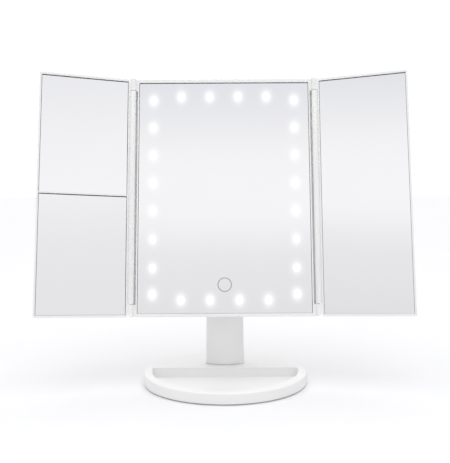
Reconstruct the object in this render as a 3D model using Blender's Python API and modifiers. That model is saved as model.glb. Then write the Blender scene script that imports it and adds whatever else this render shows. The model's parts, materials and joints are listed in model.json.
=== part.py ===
"""Lighted vanity mirror with three folding panels on an oval stand.

Run it with: blender --background --python part.py, or from Blender's text editor.
It builds the mirror as it stands in use: head leaning back, both wings swung a little forward.
Helpers take millimetres. The scene is in metres, +Z up, and the mirror faces -Y.
The head's parts are placed in head_frame: X right, Y backwards from the glass's front face,
Z up the glass from its centre. A wing's parts are placed from that wing's hinge axis.
"""

import math

import bmesh
import bpy

MM = 0.001
GAP = 0.3  # play between neighbouring pieces

# Pose in use
HEAD_LEAN_DEG = 11.7
WING_FOLD_DEG = 16.0

# Stand
TILT_AXIS = (0.0, 26.5, 110.5)  # centre of the tilt pivot
BASE_HALF_WIDTH, BASE_HALF_DEPTH = 73.5, 62.5
FOOT_HEIGHT = 0.8
BASE_TOP = 10.3
BASE_WALL = 2.2
TRAY_HALF_WIDTH, TRAY_HALF_DEPTH = 66.4, 55.0
TRAY_CENTRE_Y, TRAY_BACK_Y = 3.0, 8.4
TRAY_FLOOR = 1.8
BASE_SCREWS = ((-52.0, 20.0), (52.0, 20.0), (0.0, 50.0))
FOOT_PADS = ((-40.0, -36.0), (40.0, -36.0), (-46.0, 34.0), (46.0, 34.0))

STEM_BOTTOM, STEM_TOP = BASE_TOP + GAP, 101.2
STEM_FOOT_HALF_WIDTH = 18.3
STEM_LOW_HALF_WIDTH, STEM_HIGH_HALF_WIDTH = 17.75, 16.7
STEM_FLARE_TOP = 12.4
STEM_SIDE_HALF_DEPTH = 4.0
STEM_FACE_RADIUS = 30.0
STEM_WALL = 2.0
STEM_SCREW_HEIGHTS = (40.0, 92.0)
STEM_FOOT_SCREW_X, STEM_FOOT_SCREW_Y = 9.0, 21.5

# Tilt pivot
PIVOT_RADIUS = 9.0
PIN_RADIUS, PIN_BORE = 2.0, 2.3
KNUCKLE_HALF_WIDTH = 15.8
WASHER_THICKNESS = 1.0
LUG_INNER, LUG_OUTER = 17.4, 21.8

# Head
GLASS_WIDTH, GLASS_HEIGHT, GLASS_THICKNESS = 156.0, 212.0, 2.0
LIP = 0.8  # how far the frame stands in front of the glass
SIDE_RIM, END_RIM = 1.3, 3.0
FRAME_HALF_WIDTH = GLASS_WIDTH / 2 + SIDE_RIM
FRAME_HALF_HEIGHT = GLASS_HEIGHT / 2 + END_RIM
FRAME_BACK = 7.0
WEB_FRONT, WEB_BACK = 2.3, 3.9
COVER_BACK = 12.3
COVER_WALL = 1.8
AXIS_DEPTH = 26.0  # tilt axis behind the glass
AXIS_BELOW_CENTRE = 54.0
COVER_SCREWS = [(x, z) for x in (-73.5, 73.5) for z in (-97.0, 97.0)]

# Lights
LED_COLUMN_X, LED_COLUMN_TOP = 64.6, 89.0
LED_COLUMN_COUNT, LED_COLUMN_PITCH = 8, 25.75  # the lowest light of a column sits closer, in its corner
LED_ROW_X = (-39.0, -13.2, 13.2, 39.0)
LED_TOP_ROW, LED_BOTTOM_ROW = 92.5, -94.2
LED_SIDE, LED_HEIGHT = 3.0, 0.8
LIGHT_WELL_RADIUS = 2.6
STRIP_WIDTH, STRIP_THICKNESS = 8.0, 1.0
TOUCH_Z = -80.6

# Battery box
CELL_RADIUS, CELL_LENGTH, CELL_PITCH = 7.25, 50.5, 15.2
BOX_CENTRE_Z = -5.0
BOX_HALF_WIDTH, BOX_HALF_HEIGHT = 36.0, 36.0
BOX_BACK = 26.5
POCKET_HALF_WIDTH, POCKET_HALF_HEIGHT = 31.25, 31.2
POCKET_FLOOR = 9.6
DOOR_FRONT, DOOR_STEP = 24.9, 25.5
CELL_Y = POCKET_FLOOR + 0.4 + CELL_RADIUS
CONTACT_X = 30.4

# USB inlet
USB_X, USB_Z = 48.0, -80.0

# Wings
HINGE_X, HINGE_Y = 83.5, -1.2
BARREL_RADIUS = 2.6
KNUCKLE_HEIGHT = 11.0
PIN_LENGTH, HINGE_PIN_RADIUS, HINGE_PIN_BORE = 17.5, 1.0, 1.3
SHROUD_Y, SHROUD_REACH = (3.0, 5.0), 0.5  # strip of the front frame that closes the gap behind a barrel
WING_INNER, WING_OUTER = 2.9, 83.0
WING_GLASS_INNER, WING_GLASS_OUTER = 4.3, 81.3
WING_GLASS_HALF_HEIGHT = 106.9
WING_GLASS_FRONT = 1.2  # behind the hinge axis
WING_BACK = 6.2
WING_DIVIDER = 1.2


# ---------------------------------------------------------------- helpers

def clear_scene():
    """Removes every object of the open scene."""
    for obj in list(bpy.data.objects):
        bpy.data.objects.remove(obj, do_unlink=True)


def new_collection(name, hidden=False):
    """A collection in the scene, hidden from renders if it holds cutters."""
    collection = bpy.data.collections.new(name)
    bpy.context.scene.collection.children.link(collection)
    collection.hide_render = hidden
    return collection


def finish(name, colour, roughness, metallic=0.0):
    """A Principled material."""
    material = bpy.data.materials.new(name)
    material.use_nodes = True
    shader = material.node_tree.nodes["Principled BSDF"]
    shader.inputs["Base Color"].default_value = (*colour, 1.0)
    shader.inputs["Roughness"].default_value = roughness
    shader.inputs["Metallic"].default_value = metallic
    return material


def place(name, mesh, centre, parent, material):
    """Adds a mesh object. With no material it is a cutter or a piece to be joined, kept out of renders."""
    obj = bpy.data.objects.new(name, mesh)
    group = PARTS if material else CUTTERS
    group.objects.link(obj)
    obj.parent = parent
    obj.location = [value * MM for value in centre]
    if material:
        if not mesh.materials:
            mesh.materials.append(material)
        mesh.set_sharp_from_angle(angle=math.radians(35))
        for polygon in mesh.polygons:
            polygon.use_smooth = True
    else:
        obj.hide_render = True
        obj.display_type = "WIRE"
    return obj


def empty(name, centre, parent=None, rotation=(0.0, 0.0, 0.0)):
    """An empty that carries the pieces of one frame or joint."""
    obj = bpy.data.objects.new(name, None)
    PARTS.objects.link(obj)
    obj.parent = parent
    obj.location = [value * MM for value in centre]
    obj.rotation_euler = [math.radians(angle) for angle in rotation]
    return obj


def to_mesh(name, bm):
    """Moves a bmesh into a mesh datablock."""
    mesh = bpy.data.meshes.new(name)
    bm.to_mesh(mesh)
    bm.free()
    return mesh


def box(name, x, y, z, parent=None, material=None):
    """A box between the (low, high) pairs x, y and z."""
    bm = bmesh.new()
    bmesh.ops.create_cube(bm, size=1.0)
    spans = [sorted(span) for span in (x, y, z)]
    bmesh.ops.scale(bm, vec=[(high - low) * MM for low, high in spans], verts=bm.verts)
    centre = [(low + high) / 2 for low, high in spans]
    return place(name, to_mesh(name, bm), centre, parent, material)


def rod(name, radius, centre, axis, span, parent=None, material=None, segments=24, end_radius=None):
    """A cylinder or cone frustum along axis X, Y or Z, between the two values of span on that axis."""
    low, high = span
    bm = bmesh.new()
    second = radius if end_radius is None else end_radius
    bmesh.ops.create_cone(
        bm, cap_ends=True, segments=segments, radius1=radius * MM, radius2=second * MM, depth=(high - low) * MM
    )
    mesh = to_mesh(name, bm)
    obj = place(name, mesh, centre, parent, material)
    index = "XYZ".index(axis)
    obj.location[index] = (low + high) / 2 * MM
    if axis == "X":
        obj.rotation_euler = (0.0, math.pi / 2, 0.0)
    if axis == "Y":
        obj.rotation_euler = (-math.pi / 2, 0.0, 0.0)
    return obj


def change(obj, other, operation):
    """A Boolean of obj with other."""
    modifier = obj.modifiers.new(operation.title() + " " + other.name, "BOOLEAN")
    modifier.operation = operation
    modifier.object = other


def cut(obj, *cutters):
    """Takes the cutters away from obj."""
    for cutter in cutters:
        change(obj, cutter, "DIFFERENCE")


def join(obj, *others):
    """Adds the other shapes to obj."""
    for other in others:
        change(obj, other, "UNION")


def bevel(obj, width, segments=2, angle=40.0):
    """Rounds the sharp edges of obj."""
    modifier = obj.modifiers.new("Bevel", "BEVEL")
    modifier.width = width * MM
    modifier.segments = segments
    modifier.limit_method = "ANGLE"
    modifier.angle_limit = math.radians(angle)


def oval_prism(name, half_width, half_depth, centre_y, z, chord=None, keep_back=True, corner=0.0,
               parent=None, material=None, segments=80):
    """An oval plate with the (low, high) pair z. chord cuts it along X at that Y, and corner rounds the cut's two ends."""
    bm = bmesh.new()
    bmesh.ops.create_cone(
        bm, cap_ends=True, segments=segments, radius1=1.0, radius2=1.0, depth=(z[1] - z[0]) * MM
    )
    bmesh.ops.scale(bm, vec=(half_width * MM, half_depth * MM, 1.0), verts=bm.verts)
    if chord is not None:
        plane_y = (chord - centre_y) * MM
        cut_faces = bmesh.ops.bisect_plane(
            bm, geom=bm.verts[:] + bm.edges[:] + bm.faces[:], plane_co=(0.0, plane_y, 0.0),
            plane_no=(0.0, -1.0 if keep_back else 1.0, 0.0), clear_outer=True,
        )
        bmesh.ops.holes_fill(bm, edges=[e for e in cut_faces["geom_cut"] if isinstance(e, bmesh.types.BMEdge)])
        if corner:
            upright = [
                e for e in bm.edges
                if all(abs(v.co.y - plane_y) < 1e-7 for v in e.verts) and abs(e.verts[0].co.x - e.verts[1].co.x) < 1e-7
            ]
            bmesh.ops.bevel(bm, geom=upright, offset=corner * MM, segments=3, profile=0.5, affect="EDGES")
        bmesh.ops.recalc_face_normals(bm, faces=bm.faces)
    mesh = to_mesh(name, bm)
    return place(name, mesh, (0.0, centre_y, (z[0] + z[1]) / 2), parent, material)


def stem_half_width(height):
    """Half the stem's width at a height: a slow taper upwards, with a small flare at the foot."""
    if height < STEM_FLARE_TOP:
        share = (STEM_FLARE_TOP - height) / (STEM_FLARE_TOP - STEM_BOTTOM)
        return STEM_LOW_HALF_WIDTH + share ** 2 * (STEM_FOOT_HALF_WIDTH - STEM_LOW_HALF_WIDTH)
    share = (height - STEM_FLARE_TOP) / (STEM_TOP - STEM_FLARE_TOP)
    return STEM_LOW_HALF_WIDTH + share * (STEM_HIGH_HALF_WIDTH - STEM_LOW_HALF_WIDTH)


def stem_solid(name, inset):
    """The stem's outer shape, or its hollow when inset is a wall's thickness, as a cutter."""
    half_width = STEM_LOW_HALF_WIDTH - inset
    radius = STEM_FACE_RADIUS - inset
    side = STEM_SIDE_HALF_DEPTH
    reach = math.asin(half_width / radius)
    steps = 12
    arc = [
        (radius * math.sin(angle), -side - radius * (math.cos(angle) - math.cos(reach)))
        for angle in (reach * (2 * step / steps - 1) for step in range(steps + 1))
    ]
    outline = arc + [(-x, -y) for x, y in arc]
    curve = bpy.data.curves.new(name, "CURVE")
    curve.dimensions = "2D"
    curve.fill_mode = "BOTH"
    bottom, top = (STEM_BOTTOM, STEM_TOP) if inset == 0 else (STEM_BOTTOM - 1, STEM_TOP + 1)
    curve.extrude = (top - bottom) / 2 * MM
    spline = curve.splines.new("POLY")
    spline.points.add(len(outline) - 1)
    for point, (x, y) in zip(spline.points, outline):
        point.co = (x * MM, y * MM, 0.0, 1.0)
    spline.use_cyclic_u = True
    flat = bpy.data.objects.new(name, curve)
    CUTTERS.objects.link(flat)
    bpy.context.view_layer.update()
    mesh = bpy.data.meshes.new_from_object(flat.evaluated_get(bpy.context.evaluated_depsgraph_get()))
    bpy.data.objects.remove(flat)
    bm = bmesh.new()
    bm.from_mesh(mesh)
    bmesh.ops.remove_doubles(bm, verts=bm.verts, dist=1e-6)
    bmesh.ops.dissolve_limit(bm, angle_limit=0.01, verts=bm.verts, edges=bm.edges)
    middle = (bottom + top) / 2
    levels = (STEM_BOTTOM + 0.6, STEM_BOTTOM + 1.2, STEM_FLARE_TOP)
    for level in levels:
        bmesh.ops.bisect_plane(
            bm, geom=bm.verts[:] + bm.edges[:] + bm.faces[:], plane_co=(0.0, 0.0, (level - middle) * MM),
            plane_no=(0.0, 0.0, 1.0),
        )
    for vert in bm.verts:
        height = min(max(vert.co.z / MM + middle, STEM_BOTTOM), STEM_TOP)
        vert.co.x *= (stem_half_width(height) - inset) / half_width
    bmesh.ops.recalc_face_normals(bm, faces=bm.faces)
    bm.to_mesh(mesh)
    bm.free()
    return place(name, mesh, (0.0, TILT_AXIS[1], middle), None, None)


def coil(name, radii, span, centre, axis, turns, wire, parent, material):
    """A helical spring between two values of span on an axis, with its coil radius going from radii[0] to radii[1]."""
    curve = bpy.data.curves.new(name, "CURVE")
    curve.dimensions = "3D"
    curve.bevel_depth = wire * MM
    curve.bevel_resolution = 1
    curve.use_fill_caps = True
    per_turn = 10
    count = turns * per_turn + 1
    spline = curve.splines.new("POLY")
    spline.points.add(count - 1)
    for index, point in enumerate(spline.points):
        share = index / (count - 1)
        angle = 2 * math.pi * index / per_turn
        radius = radii[0] + share * (radii[1] - radii[0])
        along = span[0] + share * (span[1] - span[0])
        around = (radius * math.cos(angle), radius * math.sin(angle))
        if axis == "X":
            at = (along, centre[1] + around[0], centre[2] + around[1])
        else:
            at = (centre[0] + around[0], along, centre[2] + around[1])
        point.co = (at[0] * MM, at[1] * MM, at[2] * MM, 1.0)
    curve.materials.append(material)
    obj = bpy.data.objects.new(name, curve)
    PARTS.objects.link(obj)
    obj.parent = parent
    return obj


def wire(name, points, radius, parent, material):
    """A soft lead along a smooth curve through the points."""
    curve = bpy.data.curves.new(name, "CURVE")
    curve.dimensions = "3D"
    curve.bevel_depth = radius * MM
    curve.bevel_resolution = 1
    curve.resolution_u = 4
    curve.use_fill_caps = True
    spline = curve.splines.new("BEZIER")
    spline.bezier_points.add(len(points) - 1)
    for knot, at in zip(spline.bezier_points, points):
        knot.co = [value * MM for value in at]
        knot.handle_left_type = knot.handle_right_type = "AUTO"
    curve.materials.append(material)
    obj = bpy.data.objects.new(name, curve)
    PARTS.objects.link(obj)
    obj.parent = parent
    return obj


def screw_mesh(head_radius, head_height, shank_radius, shank_length):
    """A pan-head screw with a cross recess. Its axis is Z, and the underside of its head is at the origin."""
    bm = bmesh.new()
    profile = (
        (0.0, head_height), (head_radius * 0.75, head_height), (head_radius, head_height * 0.45),
        (head_radius, 0.0), (shank_radius, 0.0), (shank_radius, -shank_length + shank_radius),
        (0.0, -shank_length),
    )
    verts = [bm.verts.new((x * MM, 0.0, z * MM)) for x, z in profile]
    edges = [bm.edges.new(pair) for pair in zip(verts, verts[1:])]
    bmesh.ops.spin(
        bm, geom=verts + edges, cent=(0.0, 0.0, 0.0), axis=(0.0, 0.0, 1.0), angle=2 * math.pi, steps=16,
        use_merge=True,
    )
    bmesh.ops.remove_doubles(bm, verts=bm.verts, dist=1e-6)
    bmesh.ops.recalc_face_normals(bm, faces=bm.faces)
    return to_mesh("screw", bm)


def screw(name, mesh, centre, rotation, parent, recess_radius=1.6):
    """Places a screw, with a cross cut in its head."""
    obj = place(name, mesh, centre, parent, STEEL)
    obj.rotation_euler = [math.radians(angle) for angle in rotation]
    top = max(vert.co.z for vert in mesh.vertices) / MM
    for turn, (half_x, half_y) in enumerate(((recess_radius, 0.3), (0.3, recess_radius))):
        bar = box(
            f"{name}_slot_{turn}", (-half_x, half_x), (-half_y, half_y), (top - 0.6, top + 1.0), obj
        )
        cut(obj, bar)
    return obj


# ---------------------------------------------------------------- stand

def build_base():
    """Oval weighted base with a tray in front, a steel plate and a bottom cover behind, and four pads."""
    shell = oval_prism(
        "base_shell", BASE_HALF_WIDTH, BASE_HALF_DEPTH, 0.0, (FOOT_HEIGHT, BASE_TOP), material=WHITE_ABS
    )
    bevel(shell, 1.2, 2)
    tray = oval_prism(
        "tray_cutter", TRAY_HALF_WIDTH, TRAY_HALF_DEPTH, TRAY_CENTRE_Y, (TRAY_FLOOR, BASE_TOP + 4),
        chord=TRAY_BACK_Y, keep_back=False, corner=2.0,
    )
    cavity_front = TRAY_BACK_Y + BASE_WALL
    cavity_top = BASE_TOP - BASE_WALL
    cavity = oval_prism(
        "cavity_cutter", BASE_HALF_WIDTH - BASE_WALL, BASE_HALF_DEPTH - BASE_WALL, 0.0,
        (FOOT_HEIGHT - 4, cavity_top), chord=cavity_front,
    )
    cut(shell, tray, cavity)
    cover = oval_prism(
        "base_bottom_cover", BASE_HALF_WIDTH - BASE_WALL - GAP, BASE_HALF_DEPTH - BASE_WALL - GAP, 0.0,
        (FOOT_HEIGHT, FOOT_HEIGHT + 1.6), chord=cavity_front + GAP, material=WHITE_ABS,
    )
    weight = oval_prism(
        "base_weight", BASE_HALF_WIDTH - BASE_WALL - 1.2, BASE_HALF_DEPTH - BASE_WALL - 1.2, 0.0,
        (2.8, 6.4), chord=cavity_front + 0.6, material=STEEL, segments=48,
    )
    short_screw = screw_mesh(2.8, 0.9, 1.2, 5.6)
    for number, (x, y) in enumerate(BASE_SCREWS, 1):
        at = (x, y, 0.0)
        boss = rod(f"base_boss_{number}", 3.0, at, "Z", (FOOT_HEIGHT + 1.9, cavity_top + 0.5))
        join(shell, boss)
        cut(shell, rod(f"base_boss_bore_{number}", 1.5, at, "Z", (0.0, 8.0), segments=16))
        cut(weight, rod(f"weight_hole_{number}", 3.6, at, "Z", (0.0, 10.0)))
        cut(
            cover,
            rod(f"cover_hole_{number}", 1.6, at, "Z", (0.0, 5.0), segments=16),
            rod(f"cover_pit_{number}", 3.1, at, "Z", (0.0, FOOT_HEIGHT + 1.0)),
        )
        screw(f"base_screw_{number}", short_screw, (x, y, FOOT_HEIGHT + 0.9), (180.0, 0.0, 0.0), None)
    for number, (x, y) in enumerate(FOOT_PADS, 1):
        rod(f"foot_pad_{number}", 6.0, (x, y, 0.0), "Z", (0.0, FOOT_HEIGHT - GAP), material=RUBBER, end_radius=5.6)
    for side in (-1, 1):
        at = (side * STEM_FOOT_SCREW_X, STEM_FOOT_SCREW_Y, 0.0)
        cut(shell, rod(f"stem_foot_hole_{side}", 1.6, at, "Z", (cavity_top - 2, BASE_TOP + 2), segments=16))


def build_stem():
    """Two half shells screwed together, standing on the base, with the pivot knuckle held in their top."""
    y = TILT_AXIS[1]
    front_half = box("front_half_limit", (-30, 30), (y - GAP / 2, y + 30), (0.0, 130.0))
    rear_half = box("rear_half_limit", (-30, 30), (y - 30, y + GAP / 2), (0.0, 130.0))
    hollow = stem_solid("stem_hollow", STEM_WALL)
    shells = {}
    for name, limit in (("stem_front_shell", front_half), ("stem_rear_shell", rear_half)):
        solid = stem_solid(name, 0)
        CUTTERS.objects.unlink(solid)
        PARTS.objects.link(solid)
        solid.hide_render = False
        solid.display_type = "TEXTURED"
        solid.data.materials.append(WHITE_ABS)
        solid.data.set_sharp_from_angle(angle=math.radians(35))
        cut(solid, hollow, limit)
        shells[name] = solid
    front, rear = shells["stem_front_shell"], shells["stem_rear_shell"]
    foot_screw = screw_mesh(2.8, 0.9, 1.2, 11.0)
    for side, word in ((-1, "left"), (1, "right")):
        at = (side * STEM_FOOT_SCREW_X, STEM_FOOT_SCREW_Y, 0.0)
        join(front, rod(f"stem_foot_boss_{word}", 3.2, at, "Z", (STEM_BOTTOM, 24.0)))
        cut(front, rod(f"stem_foot_bore_{word}", 1.5, at, "Z", (5.0, 22.5), segments=16))
        under = BASE_TOP - BASE_WALL - 0.1
        screw(f"stem_foot_screw_{word}", foot_screw, (at[0], at[1], under), (180.0, 0.0, 0.0), None)
    half_depth = STEM_SIDE_HALF_DEPTH + STEM_FACE_RADIUS * (
        1 - math.cos(math.asin(STEM_LOW_HALF_WIDTH / STEM_FACE_RADIUS))
    )
    back = y + half_depth
    long_screw = screw_mesh(2.7, 0.9, 1.2, 7.2)
    for word, height in zip(("lower", "upper"), STEM_SCREW_HEIGHTS):
        at = (0.0, 0.0, height)
        cut(
            rear,
            rod(f"stem_screw_hole_{word}", 1.6, at, "Y", (y, back + 2), segments=16),
            rod(f"stem_screw_pit_{word}", 3.1, at, "Y", (back - 1.1, back + 2)),
        )
        screw(f"stem_screw_{word}", long_screw, (0.0, back - 1.0, height), (-90.0, 0.0, 0.0), None)
    lower = (0.0, 0.0, STEM_SCREW_HEIGHTS[0])
    join(front, rod("stem_screw_boss", 3.2, lower, "Y", (y - half_depth + 1.0, back - STEM_WALL - GAP)))
    cut(front, rod("stem_screw_bore", 1.5, lower, "Y", (y, back), segments=16))
    knuckle = rod(
        "pivot_knuckle", PIVOT_RADIUS, TILT_AXIS, "X", (-KNUCKLE_HALF_WIDTH, KNUCKLE_HALF_WIDTH),
        material=GREY_ABS, segments=40,
    )
    join(knuckle, box("pivot_tongue", (-12.5, 12.5), (y - 4.8, y + 4.8), (84.0, TILT_AXIS[2] - 4)))
    cut(
        knuckle,
        rod("pivot_bore", PIN_BORE, TILT_AXIS, "X", (-30.0, 30.0), segments=20),
        rod("tongue_bore", 1.5, (0.0, 0.0, STEM_SCREW_HEIGHTS[1]), "Y", (y - 1.0, y + 10), segments=16),
    )
    inner = KNUCKLE_HALF_WIDTH + GAP
    for side, word in ((-1, "left"), (1, "right")):
        span = sorted((side * inner, side * (inner + WASHER_THICKNESS)))
        washer = rod(f"friction_washer_{word}", 7.5, TILT_AXIS, "X", span, material=RUBBER, segments=32)
        cut(washer, rod(f"washer_hole_{word}", PIN_BORE, TILT_AXIS, "X", (-30.0, 30.0), segments=20))


# ---------------------------------------------------------------- head

def build_pivot_fasteners(head):
    """Bolt and nut that hold the head's lugs to the knuckle."""
    axis = (0.0, AXIS_DEPTH, -AXIS_BELOW_CENTRE)
    outer = LUG_OUTER + GAP
    bolt = rod("pivot_bolt", PIN_RADIUS, axis, "X", (-outer - 1.0, outer + 3.2), head, STEEL)
    join(bolt, rod("pivot_bolt_head", 3.8, axis, "X", (-outer - 2.4, -outer), head))
    cut(
        bolt,
        box("bolt_slot_a", (-outer - 4, -outer - 1.5), (axis[1] - 2.2, axis[1] + 2.2), (axis[2] - 0.4, axis[2] + 0.4), head),
        box("bolt_slot_b", (-outer - 4, -outer - 1.5), (axis[1] - 0.4, axis[1] + 0.4), (axis[2] - 2.2, axis[2] + 2.2), head),
    )
    nut = rod("pivot_nut", 4.04, axis, "X", (outer, outer + 2.6), head, STEEL, segments=6)
    cut(nut, rod("nut_hole", PIN_BORE, axis, "X", (outer - 4, outer + 6), head, segments=20))


def led_places():
    """(x, z) of every light: two columns and two rows."""
    heights = [LED_COLUMN_TOP - LED_COLUMN_PITCH * row for row in range(LED_COLUMN_COUNT - 1)] + [-LED_COLUMN_TOP]
    columns = [(x, z) for x in (-LED_COLUMN_X, LED_COLUMN_X) for z in heights]
    rows = [(x, z) for z in (LED_TOP_ROW, LED_BOTTOM_ROW) for x in LED_ROW_X]
    return columns + rows


def knuckle_piece(side, end, head):
    """A hinge knuckle on a corner of the front frame, seen from the front a block with its outer corner rounded."""
    top = FRAME_HALF_HEIGHT - 0.1
    bottom = FRAME_HALF_HEIGHT - KNUCKLE_HEIGHT
    name = f"knuckle_{side}_{end}"
    corner = 1.2 if end > 0 else 4.4
    reach = HINGE_X + BARREL_RADIUS
    inner = FRAME_HALF_WIDTH - 0.7
    limit = box(name + "_limit", (side * inner, side * reach), (-10.0, 10.0), (end * bottom, end * top), head)
    bm = bmesh.new()
    bm.from_mesh(limit.data)
    outer = [
        e for e in bm.edges
        if all(v.co.x * side > 0 and v.co.z * end > 0 for v in e.verts)
    ]
    bmesh.ops.bevel(bm, geom=outer, offset=corner * MM, segments=5, profile=0.5, affect="EDGES")
    bm.to_mesh(limit.data)
    bm.free()
    axis = (side * HINGE_X, HINGE_Y, 0.0)
    span = sorted((end * (bottom - 2), end * (top + 2)))
    barrel = rod(name, BARREL_RADIUS, axis, "Z", span, head)
    join(
        barrel,
        box(name + "_web", (side * (inner - 1), side * (HINGE_X + 2.2)), (-LIP + 0.05, 5.0), span, head),
    )
    change(barrel, limit, "INTERSECT")
    return barrel


def build_front_frame(head):
    """Bezel, light-well plate, screw bosses, hinge knuckles and hinge shrouds in one moulding."""
    frame = box(
        "front_frame", (-FRAME_HALF_WIDTH, FRAME_HALF_WIDTH), (-LIP, FRAME_BACK),
        (-FRAME_HALF_HEIGHT, FRAME_HALF_HEIGHT), head, WHITE_ABS,
    )
    bevel(frame, 0.4, 1)
    half_w, half_h = GLASS_WIDTH / 2, GLASS_HEIGHT / 2
    cut(
        frame,
        box("glass_pocket", (-half_w, half_w), (-LIP - 2, WEB_FRONT), (-half_h, half_h), head),
        box("board_pocket", (-half_w + 0.5, half_w - 0.5), (WEB_BACK, FRAME_BACK + 2), (-half_h, half_h), head),
    )
    for x, z in COVER_SCREWS:
        name = f"cover_boss_{x:.0f}_{z:.0f}"
        join(frame, rod(name, 2.5, (x, 0.0, z), "Y", (WEB_BACK - 0.8, COVER_BACK - COVER_WALL - GAP), head, segments=16))
    for side in (-1, 1):
        for end in (-1, 1):
            join(frame, knuckle_piece(side, end, head))
        reach = FRAME_HALF_HEIGHT - KNUCKLE_HEIGHT + 1.0
        join(
            frame,
            box(
                f"hinge_shroud_{side}", (side * (FRAME_HALF_WIDTH - 0.7), side * (HINGE_X + SHROUD_REACH)),
                SHROUD_Y, (-reach, reach), head,
            ),
        )
    for x, z in COVER_SCREWS:
        cut(frame, rod(f"cover_bore_{x:.0f}_{z:.0f}", 1.5, (x, 0.0, z), "Y", (5.0, 14.0), head, segments=12))
    for side in (-1, 1):
        for end in (-1, 1):
            low = FRAME_HALF_HEIGHT - KNUCKLE_HEIGHT
            axis = (side * HINGE_X, HINGE_Y, 0.0)
            span = sorted((end * (low - 3), end * (low + PIN_LENGTH / 2)))
            cut(frame, rod(f"hinge_bore_{side}_{end}", HINGE_PIN_BORE, axis, "Z", span, head, segments=12))
    for number, (x, z) in enumerate(led_places(), 1):
        cut(frame, rod(f"light_well_{number}", LIGHT_WELL_RADIUS, (x, 0.0, z), "Y", (1.0, 6.0), head, segments=16))
    cut(frame, rod("touch_well", 5.0, (0.0, 0.0, TOUCH_Z), "Y", (0.0, 8.0), head, segments=16))
    return frame


def build_glass(head):
    """The centre mirror, a plate with play all round in its pocket."""
    half_w, half_h = GLASS_WIDTH / 2 - GAP, GLASS_HEIGHT / 2 - GAP
    box("centre_mirror_glass", (-half_w, half_w), (0.0, GLASS_THICKNESS), (-half_h, half_h), head, MIRROR)


def build_hinge_pins(head):
    """Four steel pins, each half in a knuckle and half in a wing's barrel."""
    low = FRAME_HALF_HEIGHT - KNUCKLE_HEIGHT
    for side, word in ((-1, "left"), (1, "right")):
        for end, place_word in ((1, "top"), (-1, "bottom")):
            span = sorted((end * (low - PIN_LENGTH / 2), end * (low + PIN_LENGTH / 2 - GAP)))
            axis = (side * HINGE_X, HINGE_Y, 0.0)
            rod(f"{word}_hinge_pin_{place_word}", HINGE_PIN_RADIUS, axis, "Z", span, head, STEEL, segments=12)


def build_rear_cover(head):
    """Rear cover with the battery box, the tilt lugs and the USB opening."""
    front = FRAME_BACK + GAP
    cover = box(
        "rear_cover", (-FRAME_HALF_WIDTH, FRAME_HALF_WIDTH), (front, COVER_BACK),
        (-FRAME_HALF_HEIGHT, FRAME_HALF_HEIGHT), head, WHITE_ABS,
    )
    bevel(cover, 1.5, 2)
    half_w, half_h = FRAME_HALF_WIDTH - COVER_WALL, FRAME_HALF_HEIGHT - END_RIM
    inner = COVER_BACK - COVER_WALL
    cut(cover, box("cover_hollow", (-half_w, half_w), (front - 3, inner), (-half_h, half_h), head))
    low, high = BOX_CENTRE_Z - BOX_HALF_HEIGHT, BOX_CENTRE_Z + BOX_HALF_HEIGHT
    housing = box("battery_housing", (-BOX_HALF_WIDTH, BOX_HALF_WIDTH), (POCKET_FLOOR - 1.2, BOX_BACK), (low, high), head)
    bevel(housing, 1.1, 2)
    lugs = []
    for side, word in ((-1, "left"), (1, "right")):
        span = sorted((side * LUG_INNER, side * LUG_OUTER))
        axis = (0.0, AXIS_DEPTH, -AXIS_BELOW_CENTRE)
        lug = rod(f"tilt_lug_{word}", PIVOT_RADIUS, axis, "X", span, head, segments=32)
        arm = box(f"tilt_arm_{word}", span, (inner + 0.5, AXIS_DEPTH), (axis[2] - PIVOT_RADIUS, axis[2] + PIVOT_RADIUS), head)
        lugs += [lug, arm]
    join(cover, housing, *lugs)
    pocket_low, pocket_high = BOX_CENTRE_Z - POCKET_HALF_HEIGHT, BOX_CENTRE_Z + POCKET_HALF_HEIGHT
    cut(
        cover,
        box("battery_pocket", (-POCKET_HALF_WIDTH, POCKET_HALF_WIDTH), (POCKET_FLOOR, 40.0), (pocket_low, pocket_high), head),
        box("door_track", (-34.4, 34.4), (DOOR_FRONT - GAP, DOOR_STEP + GAP), (pocket_low - 1.5, high + 5), head),
        box("door_mouth", (-32.4, 32.4), (DOOR_FRONT - GAP, 40.0), (pocket_low - 1.5, high + 5), head),
        rod("lug_bore", PIN_BORE, (0.0, AXIS_DEPTH, -AXIS_BELOW_CENTRE), "X", (-40.0, 40.0), head, segments=20),
        box("usb_opening", (USB_X - 4.3, USB_X + 4.3), (inner - 3, COVER_BACK + 3), (USB_Z - 1.9, USB_Z + 1.9), head),
    )
    for end, word in ((1, "upper"), (-1, "lower")):
        at = (30.0, 0.0, BOX_CENTRE_Z + end * 1.5 * CELL_PITCH)
        cut(cover, rod(f"lead_hole_{word}", 1.1, at, "Y", (5.0, POCKET_FLOOR + 2), head, segments=10))
    small_screw = screw_mesh(2.7, 0.9, 1.2, 6.0)
    for number, (x, z) in enumerate(COVER_SCREWS, 1):
        at = (x, 0.0, z)
        cut(
            cover,
            rod(f"cover_screw_hole_{number}", 1.6, at, "Y", (5.0, 20.0), head, segments=12),
            rod(f"cover_screw_pit_{number}", 3.0, at, "Y", (COVER_BACK - 0.9, 20.0), head, segments=20),
        )
        screw(f"rear_cover_screw_{number}", small_screw, (x, COVER_BACK - 0.8, z), (-90.0, 0.0, 0.0), head)


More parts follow.
